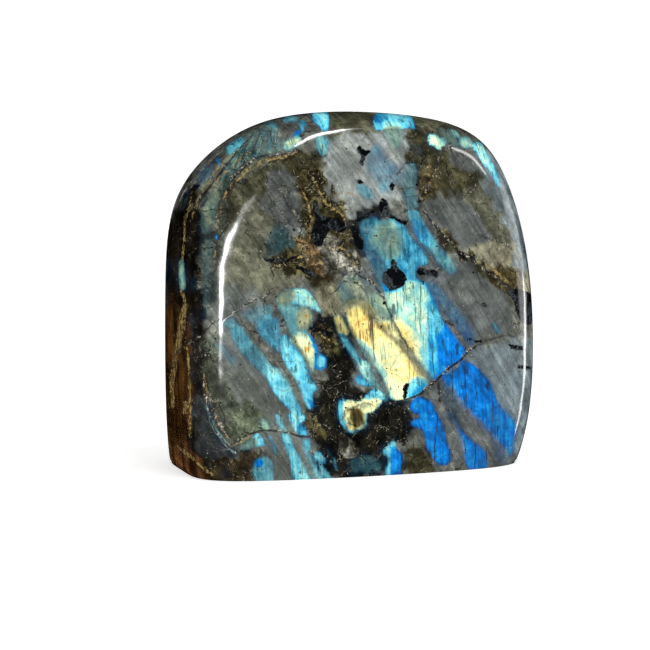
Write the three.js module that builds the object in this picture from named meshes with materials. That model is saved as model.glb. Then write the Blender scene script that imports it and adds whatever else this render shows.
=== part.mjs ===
// A polished freestanding labradorite: one natural stone, ground to a soft-edged slab that stands on a sawn base.
// Millimetres, +Z up, the broad face that shows the flash towards -Y. The origin is the middle of the base.
import * as THREE from 'three';
import { mergeVertices } from 'three/addons/utils/BufferGeometryUtils.js';

// The stone is measured from a centre in its middle, this high above the sawn base.
const CENTRE_HEIGHT = 42.8;
const STONE_HEIGHT = 84.2;
const HALF_WIDTH = 43.7;

// The flats that the outline was ground to, seen from the front: the direction each faces, in degrees
// from the right side over the top, and how far it lies from the centre.
const OUTLINE_FLATS = [
  { facing: -35, distance: 58.5 },
  { facing: 0, distance: 44 },
  { facing: 25, distance: 45.5 },
  { facing: 70, distance: 47.8 },
  { facing: 90, distance: 42.3 },
  { facing: 112, distance: 50 },
  { facing: 135, distance: 47.2 },
  { facing: 180, distance: 43.8 },
  { facing: 215, distance: 67 },
];

// The front and back faces: how far each lies from the centre, and how far it leans in towards the top.
const FACE_DISTANCE = 21;
const FACE_LEAN_DEGREES = 2.6;

// How crisp the joins are after polishing: 2 would melt the flats into an ellipsoid, and larger is crisper.
const OUTLINE_CRISPNESS = 10.5;
const FACE_EDGE_CRISPNESS = 4.1;
const BASE_EDGE_CRISPNESS = 90;

// Mesh fineness along each edge of the starting block, and how much closer its rows lie near the base.
const SEGMENTS = 22;
const ROW_CROWDING = 1.6;

const BISECTION_STEPS = 40;
const FURTHEST_POINT = 120;

// How much of the way from the centre to a flat a point has gone: 1 on the flat, and 0 on its far side.
function share(along, distance) {
  return Math.max(0, along / distance);
}

// Several shares blended into one, as polishing blends neighbouring flats.
function blend(shares, crispness) {
  return shares.reduce((sum, one) => sum + one ** crispness, 0) ** (1 / crispness);
}

// How full the unsawn stone is at a point measured from the centre: below 1 inside, 1 on its skin.
function bodyFullness(x, y, z) {
  const outline = OUTLINE_FLATS.map(({ facing, distance }) => {
    const angle = THREE.MathUtils.degToRad(facing);
    return share(x * Math.cos(angle) + z * Math.sin(angle), distance);
  });
  const lean = THREE.MathUtils.degToRad(FACE_LEAN_DEGREES);
  const face = share(Math.abs(y) * Math.cos(lean) + z * Math.sin(lean), FACE_DISTANCE);
  return blend([blend(outline, OUTLINE_CRISPNESS), face], FACE_EDGE_CRISPNESS);
}

// The same with the sawn base, which meets the wall in a small rounded edge.
function stoneFullness(x, y, z) {
  return blend([bodyFullness(x, y, z), share(-z, CENTRE_HEIGHT)], BASE_EDGE_CRISPNESS);
}

// How many times a step from the centre has to be taken until a fullness reaches 1.
function reach(fullness, x, y, z) {
  let inside = 0;
  let outside = FURTHEST_POINT / Math.hypot(x, y, z);
  for (let i = 0; i < BISECTION_STEPS; i += 1) {
    const middle = (inside + outside) / 2;
    if (fullness(x * middle, y * middle, z * middle) < 1) inside = middle;
    else outside = middle;
  }
  return inside;
}

// Where the wall would meet the base plane, at an angle seen from above.
function baseRadius(angle) {
  const wall = (x, y) => bodyFullness(x, y, -CENTRE_HEIGHT);
  return reach(wall, Math.cos(angle), Math.sin(angle), 0);
}

// Sends a point of the starting block, which runs from -1 to 1 each way, to its place on the polished skin.
// The rows start on the round outline of the base and turn square towards the top, so that no quad is squashed.
function polish(point) {
  const spread = Math.max(Math.abs(point.x), Math.abs(point.y));
  const angle = Math.atan2(point.y * FACE_DISTANCE, point.x * HALF_WIDTH);
  const radius = spread * baseRadius(angle);
  const rise = ((point.z + 1) / 2) ** ROW_CROWDING;
  const x = THREE.MathUtils.lerp(radius * Math.cos(angle), point.x * HALF_WIDTH, rise);
  const y = THREE.MathUtils.lerp(radius * Math.sin(angle), point.y * FACE_DISTANCE, rise);
  const z = STONE_HEIGHT * rise - CENTRE_HEIGHT;
  const steps = reach(stoneFullness, x, y, z);
  const height = point.z === -1 ? 0 : z * steps + CENTRE_HEIGHT;
  return point.set(x * steps, y * steps, height);
}

function stoneGeometry() {
  const block = new THREE.BoxGeometry(2, 2, 2, SEGMENTS, SEGMENTS, SEGMENTS);
  block.deleteAttribute('normal');
  block.deleteAttribute('uv');
  const skin = mergeVertices(block);
  const position = skin.getAttribute('position');
  const point = new THREE.Vector3();
  for (let i = 0; i < position.count; i += 1) {
    polish(point.fromBufferAttribute(position, i));
    position.setXYZ(i, point.x, point.y, point.z);
  }
  skin.computeVertexNormals();
  return skin;
}

const labradorite = new THREE.MeshStandardMaterial({ color: '#4f5653', roughness: 0.12, metalness: 0 });
const stone = new THREE.Mesh(stoneGeometry(), labradorite);
stone.name = 'labradorite_stone';

const model = new THREE.Group();
model.add(stone);
export default model;
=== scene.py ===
# %% [markdown]
# A polished labradorite, about 87 mm wide and 84 mm high. Labradorite is a feldspar built of layers far
# thinner than a hair. Where the layers lie the right way they send back one colour of light, blue to
# gold, and that is the flash. Elsewhere the same stone is grey and olive, with black grains and rusty
# veins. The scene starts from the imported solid, which settles the size, and gives it a finer skin and its
# markings.

# %% Frame
import math

import bmesh
import bpy
import numpy as np
from mathutils import Matrix, Vector, noise


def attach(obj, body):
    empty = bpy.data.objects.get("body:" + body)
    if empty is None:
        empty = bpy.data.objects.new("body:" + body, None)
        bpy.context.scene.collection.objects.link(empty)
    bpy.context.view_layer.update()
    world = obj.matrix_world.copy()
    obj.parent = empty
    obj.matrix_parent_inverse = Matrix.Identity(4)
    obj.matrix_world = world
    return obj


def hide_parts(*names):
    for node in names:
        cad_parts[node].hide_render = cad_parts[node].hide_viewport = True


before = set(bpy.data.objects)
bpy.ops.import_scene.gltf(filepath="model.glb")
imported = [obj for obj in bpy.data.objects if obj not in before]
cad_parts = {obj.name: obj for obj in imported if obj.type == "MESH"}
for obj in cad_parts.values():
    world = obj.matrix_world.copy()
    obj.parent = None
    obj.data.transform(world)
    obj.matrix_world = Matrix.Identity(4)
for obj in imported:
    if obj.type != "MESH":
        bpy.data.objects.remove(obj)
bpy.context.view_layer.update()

# %% [markdown]
# The camera comes first, because the markings are placed by looking through it. The photograph shows the
# stone from about 19 degrees to the left and 4 degrees above. The lens is long, so the sides hardly
# narrow. The stone stands a little right of and above the middle of the picture, so the camera aims past
# it.

# %% Camera
MM = 0.001
PHOTO_SIZE = 650
SENSOR_WIDTH = 36
LENS = 103.43
CAMERA_DISTANCE = 450
AIM_LEFT, AIM_BELOW = 6.04, 8.84

azimuth, elevation = math.radians(-18.8), math.radians(3.76)
look_point = Vector((0, 0, 42)) * MM
towards_camera = Vector((
    math.sin(azimuth) * math.cos(elevation),
    -math.cos(azimuth) * math.cos(elevation),
    math.sin(elevation),
))
to_the_right = Vector((math.cos(azimuth), math.sin(azimuth), 0))
upwards = towards_camera.cross(to_the_right)
camera_place = look_point + towards_camera * CAMERA_DISTANCE * MM
aim_point = look_point - to_the_right * AIM_LEFT * MM - upwards * AIM_BELOW * MM

camera = bpy.data.objects.new("camera", bpy.data.cameras.new("camera"))
bpy.context.scene.collection.objects.link(camera)
bpy.context.scene.camera = camera
camera.data.lens = LENS
camera.data.sensor_width = SENSOR_WIDTH
camera.data.clip_start, camera.data.clip_end = 0.02, 20
camera_turn = (aim_point - camera_place).to_track_quat("-Z", "Y")
camera.rotation_mode = "QUATERNION"
camera.location, camera.rotation_quaternion = camera_place, camera_turn
into_camera = Matrix.LocRotScale(camera_place, camera_turn, None).inverted()
print("camera stands at", [round(value, 3) for value in camera_place])

# %% [markdown]
# The shape is what a cutter makes on the wheel: flats ground round the outline, two leaning faces, and
# then polishing that melts each join. Each flat gives a share, which is 1 on the flat, and a high power
# mean blends the shares as polishing does. A direction divided by its blended share lands on the skin, so
# one formula makes it all. It could be sculpted as well, but then the skin would leave the solid that
# carries it.

# %% Form of the stone, in millimetres
CENTRE_HEIGHT = 42.8
STONE_HEIGHT = 84.2
HALF_WIDTH = 43.7
OUTLINE_FLATS = {-35: 58.5, 0: 44, 25: 45.5, 70: 47.8, 90: 42.3, 112: 50, 135: 47.2, 180: 43.8, 215: 67}
FACE_DISTANCE = 21
FACE_LEAN = math.radians(2.6)
OUTLINE_CRISPNESS = 10.5
FACE_EDGE_CRISPNESS = 4.1
BASE_EDGE_CRISPNESS = 90
ROW_CROWDING = 1.6
FURTHEST_POINT = 120
HALVINGS = 40


def share(along, distance):
    return np.maximum(0, along / distance)


def blend(shares, crispness):
    return sum(one ** crispness for one in shares) ** (1 / crispness)


def body_fullness(x, y, z):
    """Below 1 inside the unsawn stone, and 1 on its skin. Measured from the stone's centre."""
    outline = []
    for facing, distance in OUTLINE_FLATS.items():
        angle = math.radians(facing)
        outline.append(share(x * math.cos(angle) + z * math.sin(angle), distance))
    face = share(np.abs(y) * math.cos(FACE_LEAN) + z * math.sin(FACE_LEAN), FACE_DISTANCE)
    return blend([blend(outline, OUTLINE_CRISPNESS), face], FACE_EDGE_CRISPNESS)


def base_radius(angle):
    """How far the wall stands from the middle of the base, found by halving the gap again and again."""
    inside, outside = np.zeros_like(angle), np.full_like(angle, FURTHEST_POINT)
    for _ in range(HALVINGS):
        middle = (inside + outside) / 2
        within = body_fullness(middle * np.cos(angle), middle * np.sin(angle), -CENTRE_HEIGHT) < 1
        inside, outside = np.where(within, middle, inside), np.where(within, outside, middle)
    return inside


def polish(block):
    """Sends points of a block that runs from -1 to 1 each way to their places on the skin."""
    across, through, up = block.T
    angle = np.arctan2(through * FACE_DISTANCE, across * HALF_WIDTH)
    radius = np.maximum(np.abs(across), np.abs(through)) * base_radius(angle)
    rise = ((up + 1) / 2) ** ROW_CROWDING
    x = radius * np.cos(angle) * (1 - rise) + across * HALF_WIDTH * rise
    y = radius * np.sin(angle) * (1 - rise) + through * FACE_DISTANCE * rise
    z = STONE_HEIGHT * rise - CENTRE_HEIGHT
    fullness = blend([body_fullness(x, y, z), share(-z, CENTRE_HEIGHT)], BASE_EDGE_CRISPNESS)
    on_the_base = up < -0.9999
    height = np.where(on_the_base, 0, z / fullness + CENTRE_HEIGHT)
    return np.stack([x / fullness, y / fullness, height], axis=1)


print(len(OUTLINE_FLATS), "flats round the outline, and two faces", 2 * FACE_DISTANCE, "mm apart")


# %% [markdown]
# The skin starts as a cube. Its edges are cut into short lengths, one direction after the other, and each
# vertex is sent to its place. The steps are about half a millimetre on the broad faces, because the
# markings are stored on the vertices, and half that number is enough through the thickness.

# %% Skin of the stone
BLOCK_CUTS = {"x": 177, "y": 45, "z": 167}

skin = bmesh.new()
bmesh.ops.create_cube(skin, size=2)
for axis, cuts in enumerate(BLOCK_CUTS.values()):
    along = [edge for edge in skin.edges if abs(edge.verts[0].co[axis] - edge.verts[1].co[axis]) > 1]
    bmesh.ops.subdivide_edges(skin, edges=along, cuts=cuts)
block_points = np.array([vertex.co for vertex in skin.verts])
skin_points = polish(block_points)
for vertex, place in zip(skin.verts, skin_points):
    vertex.co = place * MM
bmesh.ops.recalc_face_normals(skin, faces=skin.faces)
for face in skin.faces:
    face.smooth = True

stone = bpy.data.objects.new("polished_stone", bpy.data.meshes.new("polished_stone"))
bpy.context.scene.collection.objects.link(stone)
skin.to_mesh(stone.data)
skin.free()
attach(stone, "root")
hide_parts("labradorite_stone")
print("skin:", len(stone.data.vertices), "vertices,", 2 * len(stone.data.polygons), "triangles")

# %% [markdown]
# The markings are drawn as outlines, as a restorer would trace them on a glass sheet held before the
# stone. Here the glass is the picture plane, measured in the photograph's pixels, and a slow noise shifts
# each vertex on it a little, so that no outline looks drawn. The zones of the body also get a quick
# noise, because their edges interlock. What the photograph hides is guessed later, from noise alone, and
# the two meet round the corner.

# %% Glass to draw on
PIXELS_PER_MM = 4.15
LAYER_LEAN = math.radians(34)
SLOW_SHIFT, MIDDLE_SHIFT, QUICK_SHIFT = 7, 3, 8
SHIFT_OF_MARKS = 0.25
LEAST_FACING = -0.4
SEEN_FROM, SEEN_SPAN = -0.3, 0.25
vertex_count = len(stone.data.vertices)


def read_from_vertices(key):
    values = np.empty(vertex_count * 3)
    stone.data.vertices.foreach_get(key, values)
    return values.reshape(-1, 3)


places, normals = read_from_vertices("co"), read_from_vertices("normal")
before_camera = places @ np.array(into_camera.to_3x3()).T + np.array(into_camera.translation)
pixel_scale = LENS / SENSOR_WIDTH * PHOTO_SIZE / -before_camera[:, 2]
photo_flat = np.stack([
    PHOTO_SIZE / 2 + before_camera[:, 0] * pixel_scale,
    PHOTO_SIZE / 2 - before_camera[:, 1] * pixel_scale,
], axis=1)
sight = np.array(camera_place) - places
sight /= np.linalg.norm(sight, axis=1)[:, None]
photo_facing = np.sum(sight * normals, axis=1)
layer_places = np.stack([
    places[:, 0] * math.cos(LAYER_LEAN) + places[:, 2] * math.sin(LAYER_LEAN),
    places[:, 1],
    places[:, 2] * math.cos(LAYER_LEAN) - places[:, 0] * math.sin(LAYER_LEAN),
], axis=1) / MM


def field(size, seed):
    """Smooth noise at every vertex, sized in millimetres across the layers, through the stone and along."""
    return np.array([noise.noise(Vector(spot)) for spot in layer_places / np.array(size) + seed])


wander = np.stack([
    SLOW_SHIFT * field((9, 9, 9), seed) + MIDDLE_SHIFT * field((3, 3, 3), seed) for seed in (3.1, 7.7)
], axis=1)
frill = np.stack([QUICK_SHIFT * field((1.7, 2.5, 2.5), seed) for seed in (5.3, 9.9)], axis=1)
glass_for_marks = photo_flat + wander * SHIFT_OF_MARKS
glass_for_zones = photo_flat + wander + frill
seen = np.clip((photo_facing - SEEN_FROM + 0.1 * field((5, 5, 5), 1.3)) / SEEN_SPAN, 0, 1)
print("on the glass the stone reaches from", photo_flat.min(0).round(1), "to", photo_flat.max(0).round(1))

# %% [markdown]
# Each mark is stored as a depth, in millimetres: how far inside its edge a vertex lies, and below zero
# outside. A depth changes evenly from vertex to vertex, so the material can cut it off anywhere between
# two of them, and the edge stays sharp and can be frayed with noise. A stored colour would be blurred
# over a whole step.

# %% Depths
FAR_OUTSIDE = -9.0
MARGIN_OF_MARK, MARGIN_OF_CRACK = 14, 10


def rounded(path, closed):
    """A smooth curve through the points of a drawn path, with two new points between each two."""
    path = np.array(path, float)
    before = np.roll(path, 1, 0) if closed else np.vstack([path[:1], path[:-1]])
    after = np.roll(path, -1, 0) if closed else np.vstack([path[1:], path[-1:]])
    beyond = np.roll(path, -2, 0) if closed else np.vstack([path[2:], path[-1:], path[-1:]])
    steps = []
    for t in (0, 0.33, 0.67):
        steps.append(0.5 * (2 * path + (after - before) * t
                            + (2 * before - 5 * path + 4 * after - beyond) * t ** 2
                            + (3 * path - before - 3 * after + beyond) * t ** 3))
    curve = np.stack(steps, axis=1).reshape(-1, 2)
    return curve if closed else np.vstack([curve[:-2], path[-1:]])


def nearest_on(path, points):
    """Distance to a path, the side of it that each point is on, and how far along the path it comes."""
    distance = np.full(len(points), 1e9)
    side, along = np.ones(len(points)), np.zeros(len(points))
    for i, (start, end) in enumerate(zip(path[:-1], path[1:])):
        run = end - start
        part = np.clip((points - start) @ run / max(run @ run, 1e-9), 0, 1)
        offset = points - start - part[:, None] * run
        gap = np.hypot(offset[:, 0], offset[:, 1])
        closer = gap < distance
        distance = np.where(closer, gap, distance)
        side = np.where(closer, np.sign(run[0] * offset[:, 1] - run[1] * offset[:, 0]), side)
        along = np.where(closer, (i + part) / (len(path) - 1), along)
    return distance, side, along


def is_inside(path, points):
    x, y = points.T
    inside = np.zeros(len(points), bool)
    for (x0, y0), (x1, y1) in zip(path, np.roll(path, -1, 0)):
        crossed = (y0 > y) != (y1 > y)
        inside ^= crossed & (x < x0 + (y - y0) * (x1 - x0) / (y1 - y0 if y1 != y0 else 1e-9))
    return inside


def near_path(glass, path, margin):
    """The vertices that don't face away and come near the path on the glass."""
    low, high = path.min(0) - margin, path.max(0) + margin
    return np.flatnonzero((photo_facing > LEAST_FACING) & np.all((glass > low) & (glass < high), axis=1))


def patch_depth(glass, outline):
    """Depth inside a closed outline for every vertex, in millimetres."""
    path = rounded(outline, True)
    chosen = near_path(glass, path, MARGIN_OF_MARK)
    points = glass[chosen]
    distance, _, _ = nearest_on(np.vstack([path, path[:1]]), points)
    depth = np.full(vertex_count, FAR_OUTSIDE)
    depth[chosen] = np.where(is_inside(path, points), distance, -distance) / PIXELS_PER_MM
    return depth


def stroke_depth(glass, width, line):
    """Depth inside a line of a given width that narrows towards both ends."""
    path = rounded(line, False)
    chosen = near_path(glass, path, MARGIN_OF_MARK)
    distance, _, along = nearest_on(path, glass[chosen])
    taper = np.clip(np.minimum(along, 1 - along) * 6, 0.25, 1)
    depth = np.full(vertex_count, FAR_OUTSIDE)
    depth[chosen] = (width / 2 * taper - distance) / PIXELS_PER_MM
    return depth


def soft_cover(depth, softness):
    """0 outside a mark and 1 inside it, with an edge that fades outwards over a softness in millimetres."""
    step = np.clip(depth / softness + 1, 0, 1)
    return step * step * (3 - 2 * step)


def laid_over(under, cover, over):
    """Values with new ones laid over them, as far as the cover reaches at each vertex."""
    return under + (cover[:, None] if under.ndim > 1 else cover) * (over - under)


# %% [markdown]
# First the body of the stone. Each zone has a colour of its own and a brokenness: 0 is clear, even
# feldspar, and 1 is stone so full of healed cracks that it looks crushed. The colours are the greys,
# olives and rusty browns that labradorite has where it doesn't flash. They come as hex values, and one
# function turns them linear.

# %% Colours of the body


def linear(hex_colour):
    parts = [int(hex_colour[i:i + 2], 16) / 255 for i in (1, 3, 5)]
    return [part / 12.92 if part <= 0.04045 else ((part + 0.055) / 1.055) ** 2.4 for part in parts]


BODY = {
    "feldspar grey": "#60625a", "milky grey": "#60655f", "beige grey": "#676857", "slate grey": "#575b59",
    "dark olive": "#3d3b29", "olive": "#525240", "mottled olive": "#636454", "golden brown": "#4c442b",
    "pale grey": "#878d89", "silver grey": "#6e7a7d", "near black": "#130e08", "slate black": "#262726",
    "rust brown": "#3f270f", "corner brown": "#57381f", "dark brown": "#332b1c", "crushed black": "#11110e",
    "amber": "#57462f", "dark teal": "#2e4346", "moss": "#464b40", "green grey": "#535a49",
    "umber": "#454028", "slate blue": "#46535a", "flaw grey": "#78776c", "straw olive": "#77755f",
    "pale olive": "#8a8771", "dark slate": "#1c1916", "slate pane": "#2f3233",
}
print(len(BODY), "colours for the body")

# %% Zones of the body on the glass, in pixels: colour, brokenness, softness in millimetres, outline
BODY_ZONES = {
    "upper left": ("mottled olive", 0.32, 2.5, [
        (200, 190), (235, 160), (300, 148), (320, 170), (310, 240), (215, 260)]),
    "olive shoulder": ("olive", 0.5, 1.5, [
        (222, 208), (226, 190), (240, 174), (262, 160), (290, 153), (318, 152), (322, 166), (306, 172),
        (285, 178), (262, 194), (242, 207), (230, 222)]),
    "shoulder shade": ("dark olive", 0.45, 1.5, [
        (286, 156), (302, 152), (318, 153), (320, 164), (302, 168), (290, 164)]),
    "shoulder seam": ("dark brown", 0.5, 0.5, [
        (214, 200), (222, 182), (238, 166), (258, 155), (280, 152), (302, 147), (303, 151), (282, 157),
        (260, 160), (242, 172), (228, 186), (219, 202)]),
    "rim olive": ("moss", 0.5, 1.5, [
        (197, 203), (206, 194), (224, 200), (223, 228), (219, 262), (215, 300), (207, 300), (199, 250)]),
    "slate wedge": ("slate grey", 0.3, 1.5, [
        (262, 205), (270, 184), (284, 172), (298, 178), (302, 196), (308, 222), (312, 246), (296, 262),
        (282, 240), (270, 228)]),
    "beige field": ("beige grey", 0.25, 2, [
        (224, 300), (228, 262), (240, 228), (256, 214), (272, 228), (268, 250), (262, 262), (282, 270),
        (292, 280), (276, 290), (255, 297), (240, 306)]),
    "grey under beige": ("milky grey", 0.2, 2, [
        (222, 290), (245, 292), (262, 298), (250, 310), (234, 318), (220, 322)]),
    "teal shadow": ("dark teal", 0.3, 2.0, [(272, 250), (276, 236), (284, 236), (290, 246), (282, 252)]),
    "milky lower left": ("milky grey", 0.08, 2.5, [
        (228, 330), (245, 345), (268, 378), (288, 405), (306, 418), (300, 470), (276, 470), (262, 430),
        (246, 410), (234, 388), (222, 360)]),
    "moss field": ("moss", 0.4, 2, [
        (205, 345), (216, 345), (222, 385), (238, 402), (258, 418), (256, 432), (236, 442), (222, 428),
        (208, 396)]),
    "green grey patch": ("green grey", 0.35, 2.0, [
        (238, 410), (250, 411), (261, 423), (261, 431), (246, 438), (234, 439), (230, 425)]),
    "pale top": ("pale grey", 0.15, 2, [
        (329, 152), (345, 138), (372, 136), (404, 138), (408, 158), (398, 180), (392, 198), (372, 210),
        (352, 216), (338, 202), (328, 182)]),
    "top rim": ("olive", 0.3, 1, [(329, 108), (372, 108), (374, 131), (345, 129), (330, 131)]),
    "top rim right": ("olive", 0.4, 1, [
        (415, 108), (445, 116), (470, 128), (456, 132), (436, 130), (426, 136), (412, 134)]),
    "olive right of top": ("dark olive", 0.5, 1.2, [
        (407, 137), (426, 136), (440, 152), (440, 176), (420, 166), (411, 155)]),
    "olive cap right": ("dark olive", 0.38, 1.5, [
        (424, 166), (440, 158), (470, 164), (480, 178), (474, 194), (456, 198), (440, 192), (426, 203),
        (418, 192)]),
    "slate cap right": ("slate grey", 0.2, 1.6, [
        (450, 153), (460, 151), (472, 160), (472, 168), (462, 168), (452, 163)]),
    "golden flaw": ("golden brown", 0.8, 1, [
        (418, 172), (430, 168), (434, 178), (428, 192), (419, 204), (416, 186)]),
    "mottled right": ("mottled olive", 0.35, 2, [
        (466, 200), (484, 188), (502, 200), (514, 232), (514, 250), (494, 242), (478, 226)]),
    "streaky right": ("slate grey", 0.1, 1.5, [
        (420, 208), (434, 200), (458, 202), (472, 216), (484, 240), (474, 254), (458, 250), (443, 236),
        (430, 220)]),
    "olive right": ("pale olive", 0.25, 1.5, [
        (446, 240), (460, 250), (478, 250), (496, 244), (518, 252), (526, 275), (528, 300), (510, 295),
        (490, 276), (470, 264)]),
    # A band of painted shade along the diagonal edge, laid in the stone's dark olive.
    "painted shade along the diagonal edge": ("dark olive", 0.7, 0.8, [
        (436, 226), (446, 236), (458, 248), (472, 260), (486, 268), (502, 278), (514, 290), (500, 284),
        (482, 274), (466, 264), (452, 252), (442, 240)]),
    "brown right": ("golden brown", 0.5, 1.5, [(500, 268), (518, 268), (522, 290), (506, 292), (494, 280)]),
    "grey right": ("slate grey", 0.12, 1.5, [
        (445, 282), (448, 266), (468, 268), (490, 284), (506, 300), (508, 328), (486, 336), (468, 322),
        (454, 300)]),
    "silver right": ("silver grey", 0.08, 2, [
        (470, 354), (500, 346), (522, 350), (524, 420), (514, 446), (508, 424), (496, 404), (488, 384),
        (478, 366)]),
    "right rim": ("silver grey", 0.2, 1, [
        (520, 350), (540, 345), (538, 400), (524, 450), (514, 446), (520, 400)]),
    # Along the upper right rim the silver grey is partly the stone's own grey and partly a painted sheen,
    # the reflection that the curve catches there.
    "rim with painted sheen": ("silver grey", 0.2, 1.5, [
        (482, 168), (494, 150), (506, 170), (522, 225), (528, 262), (520, 262), (508, 215), (492, 186)]),
    "grey crossing": ("slate grey", 0.15, 2, [
        (428, 378), (440, 380), (470, 420), (512, 462), (500, 472), (470, 470), (450, 440), (436, 400)]),
    "crossing shade": ("slate blue", 0.2, 2.5, [
        (438, 386), (446, 388), (456, 402), (462, 416), (456, 418), (446, 404)]),
    "centre olive": ("straw olive", 0.4, 1.5, [
        (318, 282), (338, 276), (358, 284), (376, 292), (382, 304), (372, 318), (356, 308), (340, 312),
        (330, 322), (318, 306)]),
    "golden field": ("umber", 0.8, 2, [
        (298, 172), (312, 171), (322, 184), (334, 198), (345, 212), (350, 240), (358, 262), (346, 272),
        (322, 276), (300, 270), (280, 264), (296, 250), (308, 236), (304, 214)]),
    "amber flaw": ("amber", 0.8, 1.0, [(302, 248), (320, 244), (328, 256), (324, 272), (308, 270)]),
    "dark ridge": ("slate black", 0.4, 0.8, [
        (348, 226), (358, 215), (370, 208), (380, 202), (386, 212), (378, 220), (362, 224)]),
    "dark by lobe": ("slate black", 0.4, 0.8, [
        (346, 224), (356, 224), (365, 242), (364, 252), (356, 250), (350, 238)]),
    "seam grey": ("slate grey", 0.3, 1.0, [
        (350, 260), (361, 262), (380, 284), (394, 306), (403, 332), (396, 332), (384, 312), (370, 290),
        (356, 276)]),
    "right of drop": ("slate grey", 0.25, 1.5, [
        (404, 238), (420, 236), (436, 262), (440, 284), (424, 284), (412, 270)]),
    "grey flaw in gold": ("flaw grey", 0.85, 1, [
        (322, 244), (340, 240), (358, 262), (352, 276), (330, 272)]),
    "crushed heart": ("crushed black", 0.5, 1.5, [
        (309, 326), (330, 320), (346, 332), (352, 356), (346, 380), (356, 392), (380, 400), (410, 404),
        (414, 424), (404, 440), (392, 450), (380, 476), (344, 478), (322, 470), (318, 440), (310, 420),
        (318, 396), (326, 376), (326, 358), (316, 345)]),
    "olive in heart": ("umber", 0.7, 1, [(314, 334), (334, 334), (342, 346), (330, 350), (318, 344)]),
    "brown foot": ("umber", 0.8, 1, [(308, 418), (320, 424), (322, 438), (310, 436), (304, 428)]),
    "pale chip in heart": ("feldspar grey", 0.95, 0.5, [
        (343, 445), (352, 443), (358, 449), (357, 457), (349, 459), (343, 453)]),
    "olive foot": ("dark olive", 0.5, 1.2, [(404, 452), (424, 452), (434, 470), (400, 474), (398, 462)]),
    "left shade": ("near black", 0.3, 0.8, [
        (188, 190), (198, 186), (196, 215), (198, 260), (202, 300), (202, 345), (186, 345), (184, 280),
        (184, 225)]),
    "left rim dark": ("near black", 0.16, 4.0, [
        (140, 215), (165, 222), (184, 215), (184, 300), (178, 326), (140, 318)]),
    "left rim low": ("rust brown", 0.16, 4.0, [
        (140, 290), (162, 306), (176, 326), (184, 345), (190, 370), (190, 455), (140, 480)]),
    "dark slate side": ("dark slate", 0.25, 0.6, [
        (190, 342), (202, 342), (202, 395), (210, 425), (224, 448), (240, 466), (210, 474), (196, 455),
        (190, 440)]),
    "slate pane": ("slate pane", 0.15, 0.6, [
        (193, 400), (203, 400), (209, 416), (217, 431), (227, 443), (236, 455), (226, 459), (207, 462),
        (197, 450), (193, 425)]),
    "brown corner": ("corner brown", 0.2, 0.6, [
        (160, 442), (184, 446), (198, 460), (218, 474), (216, 490), (180, 486), (160, 470)]),
    "brown sill": ("dark brown", 0.6, 0.8, [(216, 462), (236, 456), (254, 450), (256, 484), (214, 486)]),
}

COMMON_COLOUR, COMMON_BROKENNESS = "feldspar grey", 0.35


def lay_zones(zones):
    """Colour and brokenness at every vertex. A zone is a colour, a cover and a brokenness."""
    tint = np.tile(np.array(linear(BODY[COMMON_COLOUR])), (vertex_count, 1))
    brokenness = np.full(vertex_count, COMMON_BROKENNESS)
    for colour, cover, broken_there in zones:
        tint = laid_over(tint, cover, np.array(linear(BODY[colour])))
        brokenness = laid_over(brokenness, cover, broken_there)
    return tint, brokenness


seen_tint, seen_brokenness = lay_zones([
    (colour, soft_cover(patch_depth(glass_for_zones, outline), softness), broken_there)
    for colour, broken_there, softness, outline in BODY_ZONES.values()
])
print(len(BODY_ZONES), "zones laid on the body")

# %% [markdown]
# The hidden sides get zones of the same colours, where a noise as large as such a zone rises high enough.
# The two ends of the stone cut across the layers, so there an upright grain about 2 mm wide darkens and
# lightens them.

# %% Guessed zones of the hidden sides: size in millimetres, how rare, brokenness
GUESSED_ZONES = {
    "olive": (20, 0.0, 0.4), "milky grey": (17, 0.02, 0.1), "slate grey": (14, 0.1, 0.15),
    "mottled olive": (13, 0.1, 0.4), "dark olive": (12, 0.2, 0.5), "pale grey": (15, 0.28, 0.2),
    "golden brown": (10, 0.3, 0.6), "crushed black": (12, 0.42, 0.5),
}
GUESSED_SOFTNESS = 0.12
GUESSED_TALLNESS = 1.6

guessed_zones = []
for colour, (size, rare, broken_there) in GUESSED_ZONES.items():
    height = field((size, size, size * GUESSED_TALLNESS), size) - rare
    guessed_zones.append((colour, soft_cover(height, GUESSED_SOFTNESS), broken_there))
left_end = np.clip(-1.6 * normals[:, 0] - 0.8 + field((6, 9, 20), 5), 0, 1)
guessed_zones.append(("dark brown", left_end, 0.7))
guessed_tint, guessed_brokenness = lay_zones(guessed_zones)
body_tint = laid_over(guessed_tint, seen, seen_tint)
brokenness = laid_over(guessed_brokenness, seen, seen_brokenness)

on_an_end = np.clip(1.5 * np.abs(normals[:, 0]) - 0.4, 0, 1)
end_grain = 1.5 * field((12, 1.8, 20), 17.1) + 0.8 * field((5, 4, 6), 18.3)
body_tint *= np.clip(1 + on_an_end * end_grain, 0.3, 2)[:, None]
print(len(guessed_zones), "guessed zones, and", int(np.sum(on_an_end > 0.5)), "vertices on the two ends")

# %% [markdown]
# Then the flash. Its colour follows the thickness of the layers, so along one scale it runs from deep
# blue over cyan and mint to gold, and two neighbouring patches blend through the colours between them, as
# on the real stone. Each patch has a hue on that scale, a glow, which is how much of the grey body it
# hides, and a softness.

# %% Hues of the flash
DEEP, BLUE, AZURE, CYAN, MINT, LEMON, GOLD, ORANGE = 0.0, 0.14, 0.28, 0.42, 0.58, 0.74, 0.87, 1.0
HUE_STOPS = {
    DEEP: "#0d4f90", BLUE: "#0471c8", AZURE: "#248db8", CYAN: "#62bfd4", MINT: "#9bcfbd", LEMON: "#e8eeb4",
    GOLD: "#eedb85", ORANGE: "#d08f3c",
}
print("hues of the flash:", HUE_STOPS)

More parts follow.
